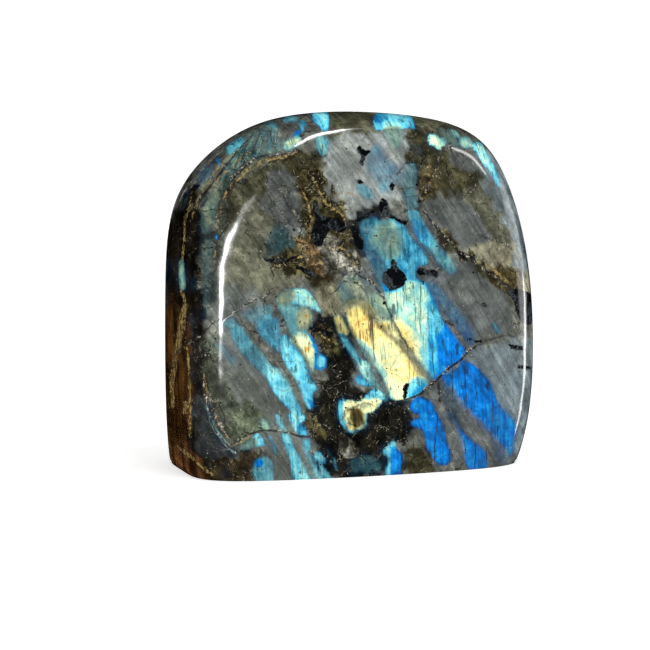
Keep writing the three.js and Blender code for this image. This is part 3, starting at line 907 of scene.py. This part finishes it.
# %% Cracks on the glass: strength, line. Those that lie close together are in different groups
CRACKS = [
    {
        "main crack": (1.0, [
            (376, 408), (388, 404), (400, 401), (412, 398), (420, 394), (428, 388), (434, 381), (440, 375),
            (448, 368), (454, 363), (462, 357), (468, 351), (476, 346), (484, 341)]),
        "main crack tail": (0.6, [(484, 341), (494, 338), (502, 335), (510, 334), (514, 338)]),
        "low left crack": (0.9, [
            (204, 447), (216, 449), (228, 447), (238, 441), (250, 434), (262, 430), (276, 431), (292, 433),
            (306, 436), (320, 438)]),
        "left crack": (0.8, [(220, 319), (210, 327), (202, 335), (192, 340), (182, 348), (172, 356)]),
        "shoulder arc": (0.95, [
            (197, 206), (203, 194), (213, 182), (222, 171), (232, 158), (243, 146), (255, 135)]),
        "cap crack": (0.7, [
            (452, 144), (444, 149), (439, 155), (437, 164), (433, 174), (426, 188), (419, 200)]),
        "diagonal edge": (1.0, [
            (420, 208), (432, 222), (446, 238), (456, 250), (470, 260), (484, 270), (500, 280),
            (515, 291)]),
    },
    {
        "beige crack": (0.7, [
            (222, 321), (234, 312), (244, 306), (252, 300), (264, 297), (272, 290), (282, 286)]),
        "shoulder arc 2": (0.9, [(216, 226), (217, 214), (218, 204), (221, 195)]),
        "shoulder arc 3": (0.95, [(226, 184), (240, 172), (250, 164), (262, 156), (280, 154), (300, 149)]),
        "low arc": (1.0, [
            (204, 340), (201, 358), (201, 378), (203, 396), (207, 412), (213, 427), (221, 438), (231, 448),
            (238, 458)]),
        "low arc 2": (0.8, [(206, 384), (210, 402), (217, 419), (225, 432), (233, 440)]),
        "top crack": (0.5, [(418, 152), (410, 160), (402, 168), (396, 176)]),
        "right small crack": (0.6, [(476, 182), (472, 190), (466, 196), (460, 200)]),
        "heart seam": (0.85, [
            (352, 272), (362, 277), (372, 283), (381, 293), (387, 305), (392, 320), (399, 333), (407, 345),
            (414, 356)]),
        "wedge line": (0.45, [(271, 176), (285, 200), (300, 222), (316, 243)]),
        "wedge line 2": (0.4, [(266, 192), (280, 212), (296, 230), (308, 242)]),
        "right line": (0.5, [(478, 234), (490, 240), (504, 244), (513, 251)]),
        "foot seam": (0.6, [(344, 411), (356, 407), (368, 404), (376, 408)]),
        "second vertical": (0.8, [(438, 380), (438, 392), (440, 404)]),
    },
    {
        "hair 1": (0.75, [(433, 340), (433, 360), (434, 378)]),
        "hair 2": (0.9, [(451, 350), (452, 370), (452, 396)]),
        "hair 3": (0.7, [(464, 364), (465, 382), (467, 404)]),
        "hair 4": (0.9, [(438, 412), (436, 430), (435, 450), (435, 464)]),
        "hair 5": (0.6, [(492, 398), (493, 418), (491, 438)]),
        "hair 6": (0.7, [(475, 440), (475, 456), (474, 470)]),
        "hair 7": (0.5, [(474, 372), (475, 390), (475, 402)]),
        "hair 8": (0.75, [(420, 284), (421, 300), (420, 318), (421, 336)]),
        "hair 9": (0.6, [(409, 356), (410, 372), (409, 390)]),
        "hair 10": (0.9, [(371, 316), (372, 332), (374, 348), (375, 362)]),
        "hair 11": (0.65, [(397, 292), (398, 304), (396, 322)]),
        "hair 12": (0.5, [(486, 448), (487, 458), (485, 468)]),
        "hair 13": (0.7, [(368, 308), (368, 324), (370, 340)]),
        "hair 14": (0.6, [(365, 322), (366, 334), (365, 346), (363, 356)]),
        "hair 15": (0.5, [(357, 307), (357, 318), (358, 328)]),
        "hair 16": (0.6, [(404, 290), (405, 300), (404, 310)]),
        "hair 17": (0.55, [(390, 306), (391, 318), (390, 332)]),
        "hair 18": (0.55, [(428, 314), (429, 328), (428, 342)]),
        "hair 19": (0.4, [(384, 380), (392, 366), (399, 355)]),
        "hair 20": (0.4, [(380, 366), (388, 373), (398, 376), (404, 384)]),
        "slate seam": (0.7, [(190, 345), (190, 380), (191, 420), (194, 452)]),
        "comb hair 1": (0.75, [(254, 132), (247, 146), (241, 164)]),
        "comb hair 2": (0.7, [(262, 132), (256, 146), (251, 160)]),
        "comb hair 3": (0.85, [(271, 128), (272, 140), (276, 151)]),
        "comb hair 4": (0.7, [(247, 142), (240, 155), (234, 171)]),
        "comb hair 5": (0.75, [(239, 147), (231, 160), (225, 174)]),
        "comb hair 6": (0.6, [(258, 134), (251, 148), (246, 163)]),
        "comb hair 7": (0.65, [(267, 132), (262, 146), (258, 157)]),
        "comb hair 8": (0.6, [(231, 158), (224, 171), (218, 185)]),
        "comb hair 9": (0.6, [(279, 127), (277, 140), (275, 151)]),
    },
]
print(sum(len(cracks) for cracks in CRACKS), "cracks in", len(CRACKS), "groups")

# %% Depths of the bands, grains and veins, with guessed grains on the hidden sides
band_depth, vein_depth = [
    np.maximum.reduce([stroke_depth(glass_for_marks, width, line) for width, line in strokes.values()])
    for strokes in (GREY_BANDS, GOLD_VEINS)
]
guessed_grains = 5 * (field((4, 4, 4), 21.5) - 0.5) - OUT_OF_REACH * seen
grain_depth = np.maximum.reduce([
    guessed_grains, *(patch_depth(glass_for_marks, outline) for outline in BLACK_GRAINS.values())
])
print(len(GREY_BANDS), "grey bands,", len(BLACK_GRAINS), "black grains,", len(GOLD_VEINS), "golden veins")

# %% [markdown]
# A crack is thinner than a mesh step, so its plain distance would be lost between two vertices. Its
# signed distance isn't: it is negative on one side and positive on the other, and passes through zero
# exactly on the crack. The plain distance goes with it, to tell the crack from the far-off places where
# the sign jumps. The third value is the strength, which fades at both ends. On the hidden sides a crack
# is where a slow noise passes zero.

# %% Distances to the cracks
NO_CRACK = (9, 9, 0)
SHEET_SLOPE = 15


def crack_field(cracks, seed):
    """Signed distance, plain distance and strength at every vertex, for one group of cracks."""
    gap = field((22, 60, 34), seed) * SHEET_SLOPE
    guessed_strength = np.clip(field((14, 14, 14), seed + 9) * 3, 0, 0.6) * (1 - seen)
    distances = np.stack([gap, np.abs(gap), guessed_strength], axis=1)
    distances[seen > 0.5] = NO_CRACK
    for strength, line in cracks.values():
        path = np.array(line, float)
        chosen = near_path(glass_for_marks, path, MARGIN_OF_CRACK)
        distance, side, along = nearest_on(path, glass_for_marks[chosen])
        distance = distance / PIXELS_PER_MM
        closer = distance < distances[chosen, 1]
        taper = strength * np.clip(np.minimum(along, 1 - along) * 12, 0, 1)
        distances[chosen[closer]] = np.stack([distance * side, distance, taper], axis=1)[closer]
    return distances


def store(name, kind, key, values):
    """Keeps one value for each vertex on the mesh, where the material can read it by name."""
    attribute = stone.data.attributes.new(name, kind, "POINT")
    attribute.data.foreach_set(key, np.ascontiguousarray(values, dtype=np.float32).ravel())


store("body", "FLOAT_COLOR", "color", np.column_stack([body_tint, brokenness]))
store("on_an_end", "FLOAT", "value", on_an_end)
store("flash", "FLOAT_VECTOR", "vector", np.column_stack([flash_depth, flash_hue, flash_glow]))
store("marks", "FLOAT_VECTOR", "vector", np.column_stack([band_depth, grain_depth, vein_depth]))
for number, cracks in enumerate(CRACKS, 1):
    store(f"crack_{number}", "FLOAT_VECTOR", "vector", crack_field(cracks, 31.5 + 7 * number))
print("stored:", [attribute.name for attribute in stone.data.attributes])

# %% [markdown]
# The material is labradorite feldspar, sawn, lapped and polished with cerium oxide. It is a dielectric
# with a refractive index of about 1.56, so it mirrors only a few hundredths of the light, but sharply.
# The markings go into its base colour. One small function adds every node, with its settings and its
# links.

# %% Material and its helper
labradorite = bpy.data.materials.new("polished labradorite feldspar")
labradorite.use_nodes = True
labradorite.node_tree.nodes.clear()


def add(kind, inputs=(), out=0, stops=None, **settings):
    """Adds a node and gives one of its outputs, or the node itself when out is None.

    The inputs are a list in the node's own order, or a dict by name. Each is a value, a hex colour, or the
    output of another node."""
    node = labradorite.node_tree.nodes.new("ShaderNode" + kind)
    for name, value in settings.items():
        setattr(node, name, value)
    for name, value in (inputs if isinstance(inputs, dict) else dict(enumerate(inputs))).items():
        if isinstance(value, bpy.types.NodeSocket):
            labradorite.node_tree.links.new(value, node.inputs[name])
        else:
            node.inputs[name].default_value = (*linear(value), 1) if isinstance(value, str) else value
    for number, (position, colour) in enumerate((stops or {}).items()):
        elements = node.color_ramp.elements
        stop = elements[number] if number < 2 else elements.new(position)
        stop.position, stop.color = position, (*linear(colour), 1)
    return node if out is None else node.outputs[out]


# %% Places in millimetres, and the marks read from the mesh
place = add("VectorMath", {0: add("TexCoord", out="Object"), "Scale": 1000}, operation="SCALE")
body = add("Attribute", out=None, attribute_name="body")
broken = body.outputs["Alpha"]
end_face = add("Attribute", out="Fac", attribute_name="on_an_end")
flash, marks, *crack_groups = [
    add("SeparateXYZ", [add("Attribute", out="Vector", attribute_name=name)], None).outputs
    for name in ("flash", "marks", "crack_1", "crack_2", "crack_3")
]
inside_flash, drawn_hue, drawn_glow = flash
inside_band, inside_grain, inside_vein = marks
print("read from the mesh:", 4 + 1 + 3 * (2 + len(crack_groups)), "values for each vertex")

# %% [markdown]
# Noise gives the stone everything that is too small to draw. Even noise makes clouds, flecks and specks.
# Noise that is stretched makes what follows the layers: upright hairs and soft streaks that run down to
# the right, both as sheets through the whole stone, so that every side shows them. Scratches lie in three
# directions.

# %% Noises: lean in degrees, size in millimetres each way, detail, roughness, distortion, start
NOISES = {
    "slow": (0, (2.6, 2.6, 2.6), 4, 0.6, 0, 0),
    "quick": (0, (0.55, 0.55, 0.55), 3, 0.6, 0, 0),
    "cloud": (0, (7, 7, 7), 5, 0.65, 0, 0),
    "mottle": (0, (3.2, 3.2, 3.2), 6, 0.58, 0.7, 0),
    "speckle": (0, (0.8, 0.8, 0.8), 5, 0.75, 0, 0),
    "flecks": (0, (0.5, 0.5, 0.5), 2, 0.6, 0, 0),
    "dark dots": (0, (0.9, 0.9, 0.9), 1.5, 0.5, 0, 0),
    "bright dots": (0, (0.5, 0.5, 0.5), 1, 0.5, 0, 0),
    "swell": (0, (9, 9, 9), 1, 0.6, 0, 0),
    "upright": (-3, (0.7, 20, 22), 4, 0.6, 0, 0),
    "hair": (-5, (1.7, 24, 17), 1.4, 0.6, 0, 0),
    "thin hair": (-2, (0.9, 12, 14), 1, 0.6, 0, 50),
    "slant": (-34, (2.4, 24, 26), 5, 0.6, 0, 0),
    "silk": (-33, (0.55, 14, 11), 3, 0.6, 0, 0),
    "fibre": (-24, (0.45, 6, 5), 4, 0.6, 0.5, 0),
    "steep scratches": (-20, (0.3, 2.5, 3.2), 2, 0.6, 0.5, 30),
    "flat scratches": (-62, (0.3, 2.5, 3.2), 2, 0.6, 0.5, 0),
    "crossing scratches": (40, (0.3, 2.5, 3.2), 2, 0.6, 0.5, 70),
}
noises = []
for lean, size, detail, roughness, distortion, start in NOISES.values():
    turned = add("Mapping", {
        "Vector": place, "Location": (start, start, start), "Rotation": (0, math.radians(lean), 0),
        "Scale": size,
    }, vector_type="TEXTURE")
    noises.append(add("TexNoise", {
        "Vector": turned, "Scale": 1, "Detail": detail, "Roughness": roughness, "Distortion": distortion,
    }))
slow, quick, cloud, mottle, speckle, flecks, dark_dots, bright_dots, swell = noises[:9]
upright, hair, thin_hair, slant, silk, fibre, *scratched = noises[9:]
print(len(noises), "noises")

# %% [markdown]
# Most of what follows is a product of noises and marks, each read over a span of its values: where the
# stone is broken, and a cloud is light, and so on. So that is one function, and a tuple stands for a
# value and its span. The first products fray the drawn edges, in millimetres, as the edges of real grains
# are.


# %% Products
def product(*parts):
    """Multiplies values. A tuple is a value, both ends of the span it is read over, and what they give."""
    total = None
    for part in parts:
        if isinstance(part, tuple):
            part = add("MapRange", part, interpolation_type="SMOOTHSTEP")
        total = part if total is None else add("Math", [total, part], operation="MULTIPLY")
    return total


fray = add("Math", [product((slow, 0.3, 0.7, -0.45, 0.45)), product((quick, 0.3, 0.7, -0.22, 0.22))])
ragged = product((speckle, 0.3, 0.7, -0.7, 0.7))
print("nodes so far:", len(labradorite.node_tree.nodes))

# %% [markdown]
# The body colour comes from the zones. Clouds, streaks and fine flecks lighten and darken it. Where the
# stone is broken it is full of shards, with webs of healed cracks between them. The shards are the cells
# of a pattern, and the webs are the walls of such cells, all bent by noise. A web is dark, gold or pale,
# and the last two have dark rims. On the two ends of the stone the flecks and scratches are seen end on
# and would be dots, so they are faint.

# %% Shards and webs, with sizes in millimetres
BEND, BEND_SIZE = 3.0, 3
SHARD_SIZE, SPLINTER_SIZE = 2.6, 1.1
GOLD_WEB_SIZE, PALE_WEB_SIZE, DARK_WEB_SIZE = 4.6, 2.1, 7

bend = add("VectorMath", {
    0: add("TexNoise", {"Vector": place, "Scale": 1 / BEND_SIZE, "Detail": 3, "Roughness": 0.6}, "Color"),
    "Scale": BEND,
}, operation="SCALE")
bent = add("VectorMath", [place, bend], operation="ADD")
shards, splinters = [
    add("SeparateXYZ", [add("TexVoronoi", {"Vector": bent, "Scale": 1 / size}, "Color")], None).outputs
    for size in (SHARD_SIZE, SPLINTER_SIZE)
]
shard_light, shard_stain, shard_kind = shards
splinter_light = splinters[0]
gold_web, pale_web, dark_web = [
    add("TexVoronoi", {"Vector": bent, "Scale": 1 / size}, feature="DISTANCE_TO_EDGE")
    for size in (GOLD_WEB_SIZE, PALE_WEB_SIZE, DARK_WEB_SIZE)
]
print("shards of", SHARD_SIZE, "mm and splinters of", SPLINTER_SIZE, "mm")

# %% Light and dark of the body: each swing is a product that is added to 1 and multiplies the colour
contrast = add("Math", [product(broken, 1.15), 0.12])
SWINGS = [
    [(mottle, 0.34, 0.66, -0.6, 0.65), contrast],
    [(speckle, 0.34, 0.66, -0.2, 0.22), contrast],
    [(shard_light, 0.1, 0.9, -0.72, 0.8), broken],
    [(splinter_light, 0.1, 0.9, -0.45, 0.5), broken],
    [(cloud, 0.34, 0.66, -0.26, 0.26)],
    [(slant, 0.34, 0.66, -0.25, 0.27)],
    [(silk, 0.34, 0.66, -0.16, 0.17)],
    [(fibre, 0.36, 0.64, -0.3, 0.3), (slow, 0.45, 0.6, 0, 1), (broken, 0.1, 0.5, 0.3, 1)],
    [(flecks, 0.68, 0.78, 0, 1.4), (mottle, 0.45, 0.58, 0.1, 1), (end_face, 0, 1, 1, 0.3)],
    [(flecks, 0.28, 0.38, -0.5, 0), (end_face, 0, 1, 1, 0.3)],
]
shade = 1.0
for swing in SWINGS:
    shade = product(add("Math", [product(*swing), 1.0]), shade)
colour = add("VectorMath", {0: body.outputs["Color"], "Scale": shade}, operation="SCALE")
print(len(SWINGS), "swings of light and dark")

# %% Scratches and grooves, in three directions
scratches = grooves = 0.0
for lying in scratched:
    scratches = add("Math", [scratches, product((lying, 0.66, 0.75, 0, 1))], operation="MAXIMUM")
    grooves = add("Math", [grooves, product((lying, 0.36, 0.27, 0, 1))], operation="MAXIMUM")
print("scratches in", len(scratched), "directions")

# %% [markdown]
# The flash takes its colour from the hue scale. The hue slides towards blue within a millimetre of a
# patch's edge, because the layers thin out there, and a faint glow reaches on into the grey. A slow noise
# makes the edge crisp in one place and lets it fade in another. Upright streaks lie over it, and grey
# bands cut through it.

# %% Colour and light of the flash
SLIDES = [
    (inside_flash, 0, 0.9, -0.09, 0),
    (upright, 0.36, 0.64, -0.035, 0.035),
    (mottle, 0.36, 0.64, -0.05, 0.05),
    (slant, 0.36, 0.64, -0.03, 0.03),
]
hue_here = drawn_hue
for slide in SLIDES:
    hue_here = add("Math", [hue_here, product(slide)])
glow_here = product(
    drawn_glow, (cloud, 0.36, 0.64, 0.84, 1.14), (mottle, 0.36, 0.64, 0.84, 1.13),
    (inside_flash, -0.4, 1.4, 0.68, 1))
flash_light = product(
    (glow_here, 0.0, 1.7, 0.38, 1.75), (upright, 0.34, 0.66, 0.9, 1.07), (silk, 0.34, 0.66, 0.92, 1.06),
    (speckle, 0.34, 0.66, 0.88, 1.1))
pure_colour = add("ValToRGB", [hue_here], stops=HUE_STOPS)
flash_colour = add("VectorMath", {0: pure_colour, "Scale": flash_light}, operation="SCALE")
print("the hue slides by", len(SLIDES), "causes")

# %% Reach of the flash, and the grey bands that cut it
streaks = add("Math", [product((upright, 0.34, 0.66, -0.6, 0.6)), product((fibre, 0.34, 0.66, -0.3, 0.3))])
comb = add("Math", [fray, streaks])
band_edge = add("Math", [inside_band, product(comb, 0.45)])
band_cut = add("Math", [product((band_edge, -0.8, 0.5, 0, -0.84)), 1.0])
flash_edge = add("Math", [inside_flash, product(comb, 0.6)])
fade = product((cloud, 0.4, 0.6, 0.22, 1.0), (drawn_glow, 0.3, 1, 1.6, 0.9))
patch = product((flash_edge, product(fade, -1.0), fade, 0, 1), glow_here, 1.8)
halo = product((inside_flash, -1.9, 0.4, 0, 0.12), (cloud, 0.4, 0.6, 0.3, 1.1))
patch_or_halo = add("Math", [patch, halo], operation="MAXIMUM", use_clamp=True)
flash_cover = product(patch_or_halo, band_cut, (glow_here, 0.4, 0.9, 0.86, 1))
print("nodes so far:", len(labradorite.node_tree.nodes))

# %% [markdown]
# A hairline is where a stretched noise passes through its middle value, so it stays thin and never ends
# abruptly. Black grains and golden veins are cut from their depths, and small specks lie between them at
# random.

# %% Hairlines: noise, half width as a span of the noise, strength
HAIRS = [(hair, 0.04, 0.75), (thin_hair, 0.03, 0.5)]
hairlines = 0.0
for source, width, strongest in HAIRS:
    off_middle = add("Math", [source, 0.5], operation="SUBTRACT")
    off_middle = add("Math", [off_middle], operation="ABSOLUTE")
    line_here = product(
        (off_middle, 0.004, width, strongest, 0), (slow, 0.47, 0.6, 0, 1), (flash_cover, 0.2, 0.9, 0.2, 1))
    hairlines = add("Math", [hairlines, line_here], operation="MAXIMUM")
print(len(HAIRS), "kinds of hairline")

# %% Grains, veins and specks
grain_edge = add("Math", [inside_grain, product(ragged, 0.34)])
dots = add("Math", [dark_dots, product(broken, 0.05)])
grains = add("Math", [
    product((grain_edge, -0.1, 0.14, 0, 1)), product((dots, 0.74, 0.765, 0, 1))], operation="MAXIMUM")
veins = product((add("Math", [inside_vein, product(ragged, 0.35)]), -0.16, 0.2, 0, 0.85))
bright_specks = product((bright_dots, 0.76, 0.79, 0, 0.8), (mottle, 0.46, 0.56, 0, 1))
print("nodes so far:", len(labradorite.node_tree.nodes))

# %% Cracks: dark lips, with pale chips along all but the finest
OPEN_CRACK = {"shake": 0.5, "roughening": 0.12, "reach": 0.42, "chipped": True}
FINE_CRACK = {"shake": 0.12, "roughening": 0.03, "reach": 0.2, "chipped": False}

lips = chips = 0.0
for (signed, plain, crack_strength), kind in zip(crack_groups, (OPEN_CRACK, OPEN_CRACK, FINE_CRACK)):
    off_line = add("Math", [add("Math", [signed, product(fray, kind["shake"])])], operation="ABSOLUTE")
    here = product(crack_strength, (plain, 0.9, 1.3, 1, 0))
    ragged_gap = add("Math", [off_line, product(ragged, kind["roughening"])])
    lips = add("Math", [lips, product(here, (ragged_gap, 0.04, kind["reach"], 1, 0))], operation="MAXIMUM")
    if kind["chipped"]:
        chip = product(
            here, (off_line, 0.1, 0.42, 1, 0), (quick, 0.53, 0.6, 0, 0.9), (slow, 0.47, 0.56, 0, 1))
        chips = add("Math", [chips, chip], operation="MAXIMUM")
print(len(crack_groups), "groups of cracks")

# %% [markdown]
# All of it is laid on the body in order, each mark over the ones before, as the eye meets them: stain and
# scratches first, then the webs, the flash with its hairlines, the grains and veins, and last the open
# cracks.

# %% Fillings, whose colours change along them
gold_filling = add("ValToRGB", [speckle], stops={0.42: "#12110c", 0.5: "#433c29", 0.62: "#a3987a"})
pale_filling = add("ValToRGB", [quick], stops={0.44: "#2b2a22", 0.56: "#a8a28c"})
vein_filling = add("ValToRGB", [speckle], stops={0.4: "#271f11", 0.5: "#6a5832", 0.6: "#ae9862"})
facets = add("Math", [shard_kind, product((quick, 0.3, 0.7, -0.4, 0.4))])
grain_black = add("ValToRGB", [facets], stops={0.3: "#08090b", 0.7: "#15181b", 1.0: "#383d40"})
print("nodes so far:", len(labradorite.node_tree.nodes))

# %% Painting
LAYERS = [
    ("#2e2817", product((slow, 0.48, 0.6, 0, 0.75), (shard_stain, 0, 1, 0.4, 1.1), broken)),
    ("#15150f", product(grooves, (cloud, 0.42, 0.58, 0.1, 0.7), (end_face, 0, 1, 1, 0.1))),
    ("#aeab98", product(
        scratches, (mottle, 0.46, 0.58, 0.05, 0.65), (broken, 0.1, 0.6, 1, 0.35),
        (end_face, 0, 1, 1, 0.1))),
    ("#13110b", product(
        (gold_web, 0.03, 0.1, 0.8, 0), (cloud, 0.4, 0.52, 0, 1), (broken, 0.35, 0.7, 0, 1))),
    (gold_filling, product(
        (gold_web, 0.004, 0.03, 1, 0), (cloud, 0.42, 0.54, 0, 1.2), (broken, 0.4, 0.8, 0, 1))),
    ("#1b1a13", product(
        (pale_web, 0.02, 0.09, 0.7, 0), (mottle, 0.5, 0.58, 0, 1), (broken, 0.2, 0.5, 0.1, 1))),
    (pale_filling, product(
        (pale_web, 0.006, 0.035, 1, 0), (mottle, 0.5, 0.58, 0, 0.75), (broken, 0.2, 0.5, 0.25, 1))),
    (flash_colour, flash_cover),
    ("#1b2420", hairlines),
    ("#141310", product(
        (dark_web, 0.004, 0.026, 0.95, 0), (mottle, 0.45, 0.55, 0, 1), (broken, 0.1, 0.45, 0.35, 1),
        (flash_cover, 0.2, 0.8, 1, 0.45))),
    (grain_black, grains),
    (vein_filling, veins),
    ("#15130f", lips),
    ("#c4bda8", chips),
    ("#d2cfc2", bright_specks),
]
for upper, cover in LAYERS:
    colour = add("Mix", {0: cover, 6: colour, 7: upper}, 2, data_type="RGBA")
print(len(LAYERS), "layers of paint")

# %% Polish: a smooth skin that still swells a little, and cracks that are matt and sunk, in millimetres
POLISHED_ROUGHNESS, CRACK_ROUGHNESS = 0.1, 0.3
SWELL_HEIGHT, CRACK_HEIGHT = 0.2, -0.05
FELDSPAR_IOR = 1.56

matte = add("Math", [product(lips, CRACK_ROUGHNESS), POLISHED_ROUGHNESS])
wave = add("Math", [product(swell, SWELL_HEIGHT), product(lips, CRACK_HEIGHT)])
relief = add("Bump", {"Height": wave, "Distance": MM, "Strength": 1.0})
surface = add("BsdfPrincipled", {
    "Base Color": colour, "Roughness": matte, "IOR": FELDSPAR_IOR, "Normal": relief,
})
add("OutputMaterial", {"Surface": surface}, None)
stone.data.materials.append(labradorite)
print("material has", len(labradorite.node_tree.nodes), "nodes")

# %% [markdown]
# The stone stands on plain white paper that curves up behind it. White paper all round would fill the
# polish with a grey veil, so the paper and the sky aren't mirrored, and only the lamps are. Each lamp is
# put where a polished edge has to mirror it: the line from the camera bounces off the skin at a chosen
# pixel, and the lamp stands there.

# %% Paper, in metres: flat under the stone, then a quarter turn, then upright
PAPER_HALF_SIZE = 3
FLAT_LENGTH = 1.2
TURN_RADIUS = 0.5
TURN_LENGTH = 0.785
PAPER_HEIGHT = -0.00005

paper = bmesh.new()
bmesh.ops.create_grid(paper, x_segments=4, y_segments=40, size=1)
for vertex in paper.verts:
    across, along = vertex.co.x * PAPER_HALF_SIZE, vertex.co.y * PAPER_HALF_SIZE
    past_flat = max(0, along - FLAT_LENGTH)
    turned_back = FLAT_LENGTH + TURN_RADIUS * math.sin(min(past_flat, TURN_LENGTH) / TURN_RADIUS)
    turned_up = TURN_RADIUS * (1 - math.cos(min(past_flat / TURN_RADIUS, math.pi / 2)))
    upright_part = max(0, past_flat - TURN_LENGTH)
    vertex.co = across, min(along, turned_back), PAPER_HEIGHT + turned_up + upright_part
for face in paper.faces:
    face.smooth = True
backdrop = bpy.data.objects.new("paper", bpy.data.meshes.new("paper"))
bpy.context.scene.collection.objects.link(backdrop)
paper.to_mesh(backdrop.data)
paper.free()

white_paper = bpy.data.materials.new("matt white paper")
white_paper.use_nodes = True
PAPER_FINISH = {
    "Base Color": (*linear("#f7f7f6"), 1), "Roughness": 0.9, "Emission Color": (1, 1, 1, 1),
    "Emission Strength": 0.48,
}
for name, value in PAPER_FINISH.items():
    white_paper.node_tree.nodes["Principled BSDF"].inputs[name].default_value = value
backdrop.data.materials.append(white_paper)
backdrop.visible_glossy = False
print("paper of", len(backdrop.data.polygons), "faces")

# %% Room: pure white to the camera, and dimmer as a light
ROOM_AS_LIGHT, ROOM_AS_SEEN = 0.45, 1.0

room = bpy.data.worlds.new("white room")
bpy.context.scene.world = room
room.use_nodes = True
background = room.node_tree.nodes["Background"]
background.inputs["Color"].default_value = (1, 1, 1, 1)
light_path = room.node_tree.nodes.new("ShaderNodeLightPath")
room_light = room.node_tree.nodes.new("ShaderNodeMapRange")
room_light.inputs["To Min"].default_value = ROOM_AS_LIGHT
room_light.inputs["To Max"].default_value = ROOM_AS_SEEN
room.node_tree.links.new(light_path.outputs["Is Camera Ray"], room_light.inputs["Value"])
room.node_tree.links.new(room_light.outputs["Result"], background.inputs["Strength"])
room.cycles_visibility.glossy = False
bpy.context.scene.view_settings.view_transform = "Standard"
print("room light", ROOM_AS_LIGHT)

# %% Lamps: first and last pixel of the streak, distance and width in metres, strength
LAMPS = {
    "left window": ((238, 221), (219, 332), 0.8, 0.047, 30),
    "left window, upper pane": ((252, 200), (229, 252), 0.8, 0.06, 4),
    "left window, lower pane": ((222, 280), (218, 322), 0.8, 0.07, 26),
    "top window": ((292, 147), (352, 129), 0.8, 0.045, 26),
    "cap window": ((448, 147), (488, 176), 0.8, 0.06, 9),
    "right window": ((522, 268), (514, 436), 0.8, 0.08, 8),
    "right haze": ((500, 190), (526, 330), 0.7, 0.4, 1.6),
}
FACES_CAMERA, RULED_OUT = 0.05, 99


def bounce(pixel):
    """The place on the skin behind a pixel, and the direction in which it mirrors the camera's ray."""
    gap = np.hypot(*(photo_flat - np.array(pixel)).T) + RULED_OUT * (photo_facing < FACES_CAMERA)
    nearest = np.argmin(gap)
    back_to_camera, normal = Vector(sight[nearest]), Vector(normals[nearest])
    return Vector(places[nearest]), (2 * back_to_camera.dot(normal) * normal - back_to_camera).normalized()


for name, (first_pixel, last_pixel, distance, width, lamp_strength) in LAMPS.items():
    ends = []
    for pixel in (first_pixel, last_pixel):
        place_there, onward = bounce(pixel)
        ends.append(place_there + onward * distance)
    middle = (ends[0] + ends[1]) / 2
    length = (ends[0] - ends[1]).length
    light = bpy.data.lights.new(name, "AREA")
    light.shape = "ELLIPSE"
    light.size, light.size_y = width, length
    light.energy = lamp_strength * width * length * math.pi
    facing = (middle - look_point).normalized()
    along = (ends[0] - ends[1]).normalized()
    along = (along - facing * along.dot(facing)).normalized()
    side = along.cross(facing)
    turn = Matrix((side, along, facing)).transposed()
    lamp_object = bpy.data.objects.new(name, light)
    lamp_object.matrix_world = Matrix.Translation(middle) @ turn.to_4x4()
    lamp_object.visible_camera = False
    bpy.context.scene.collection.objects.link(lamp_object)
    print(name, "length", round(length, 3), "m, middle", [round(value, 2) for value in middle])
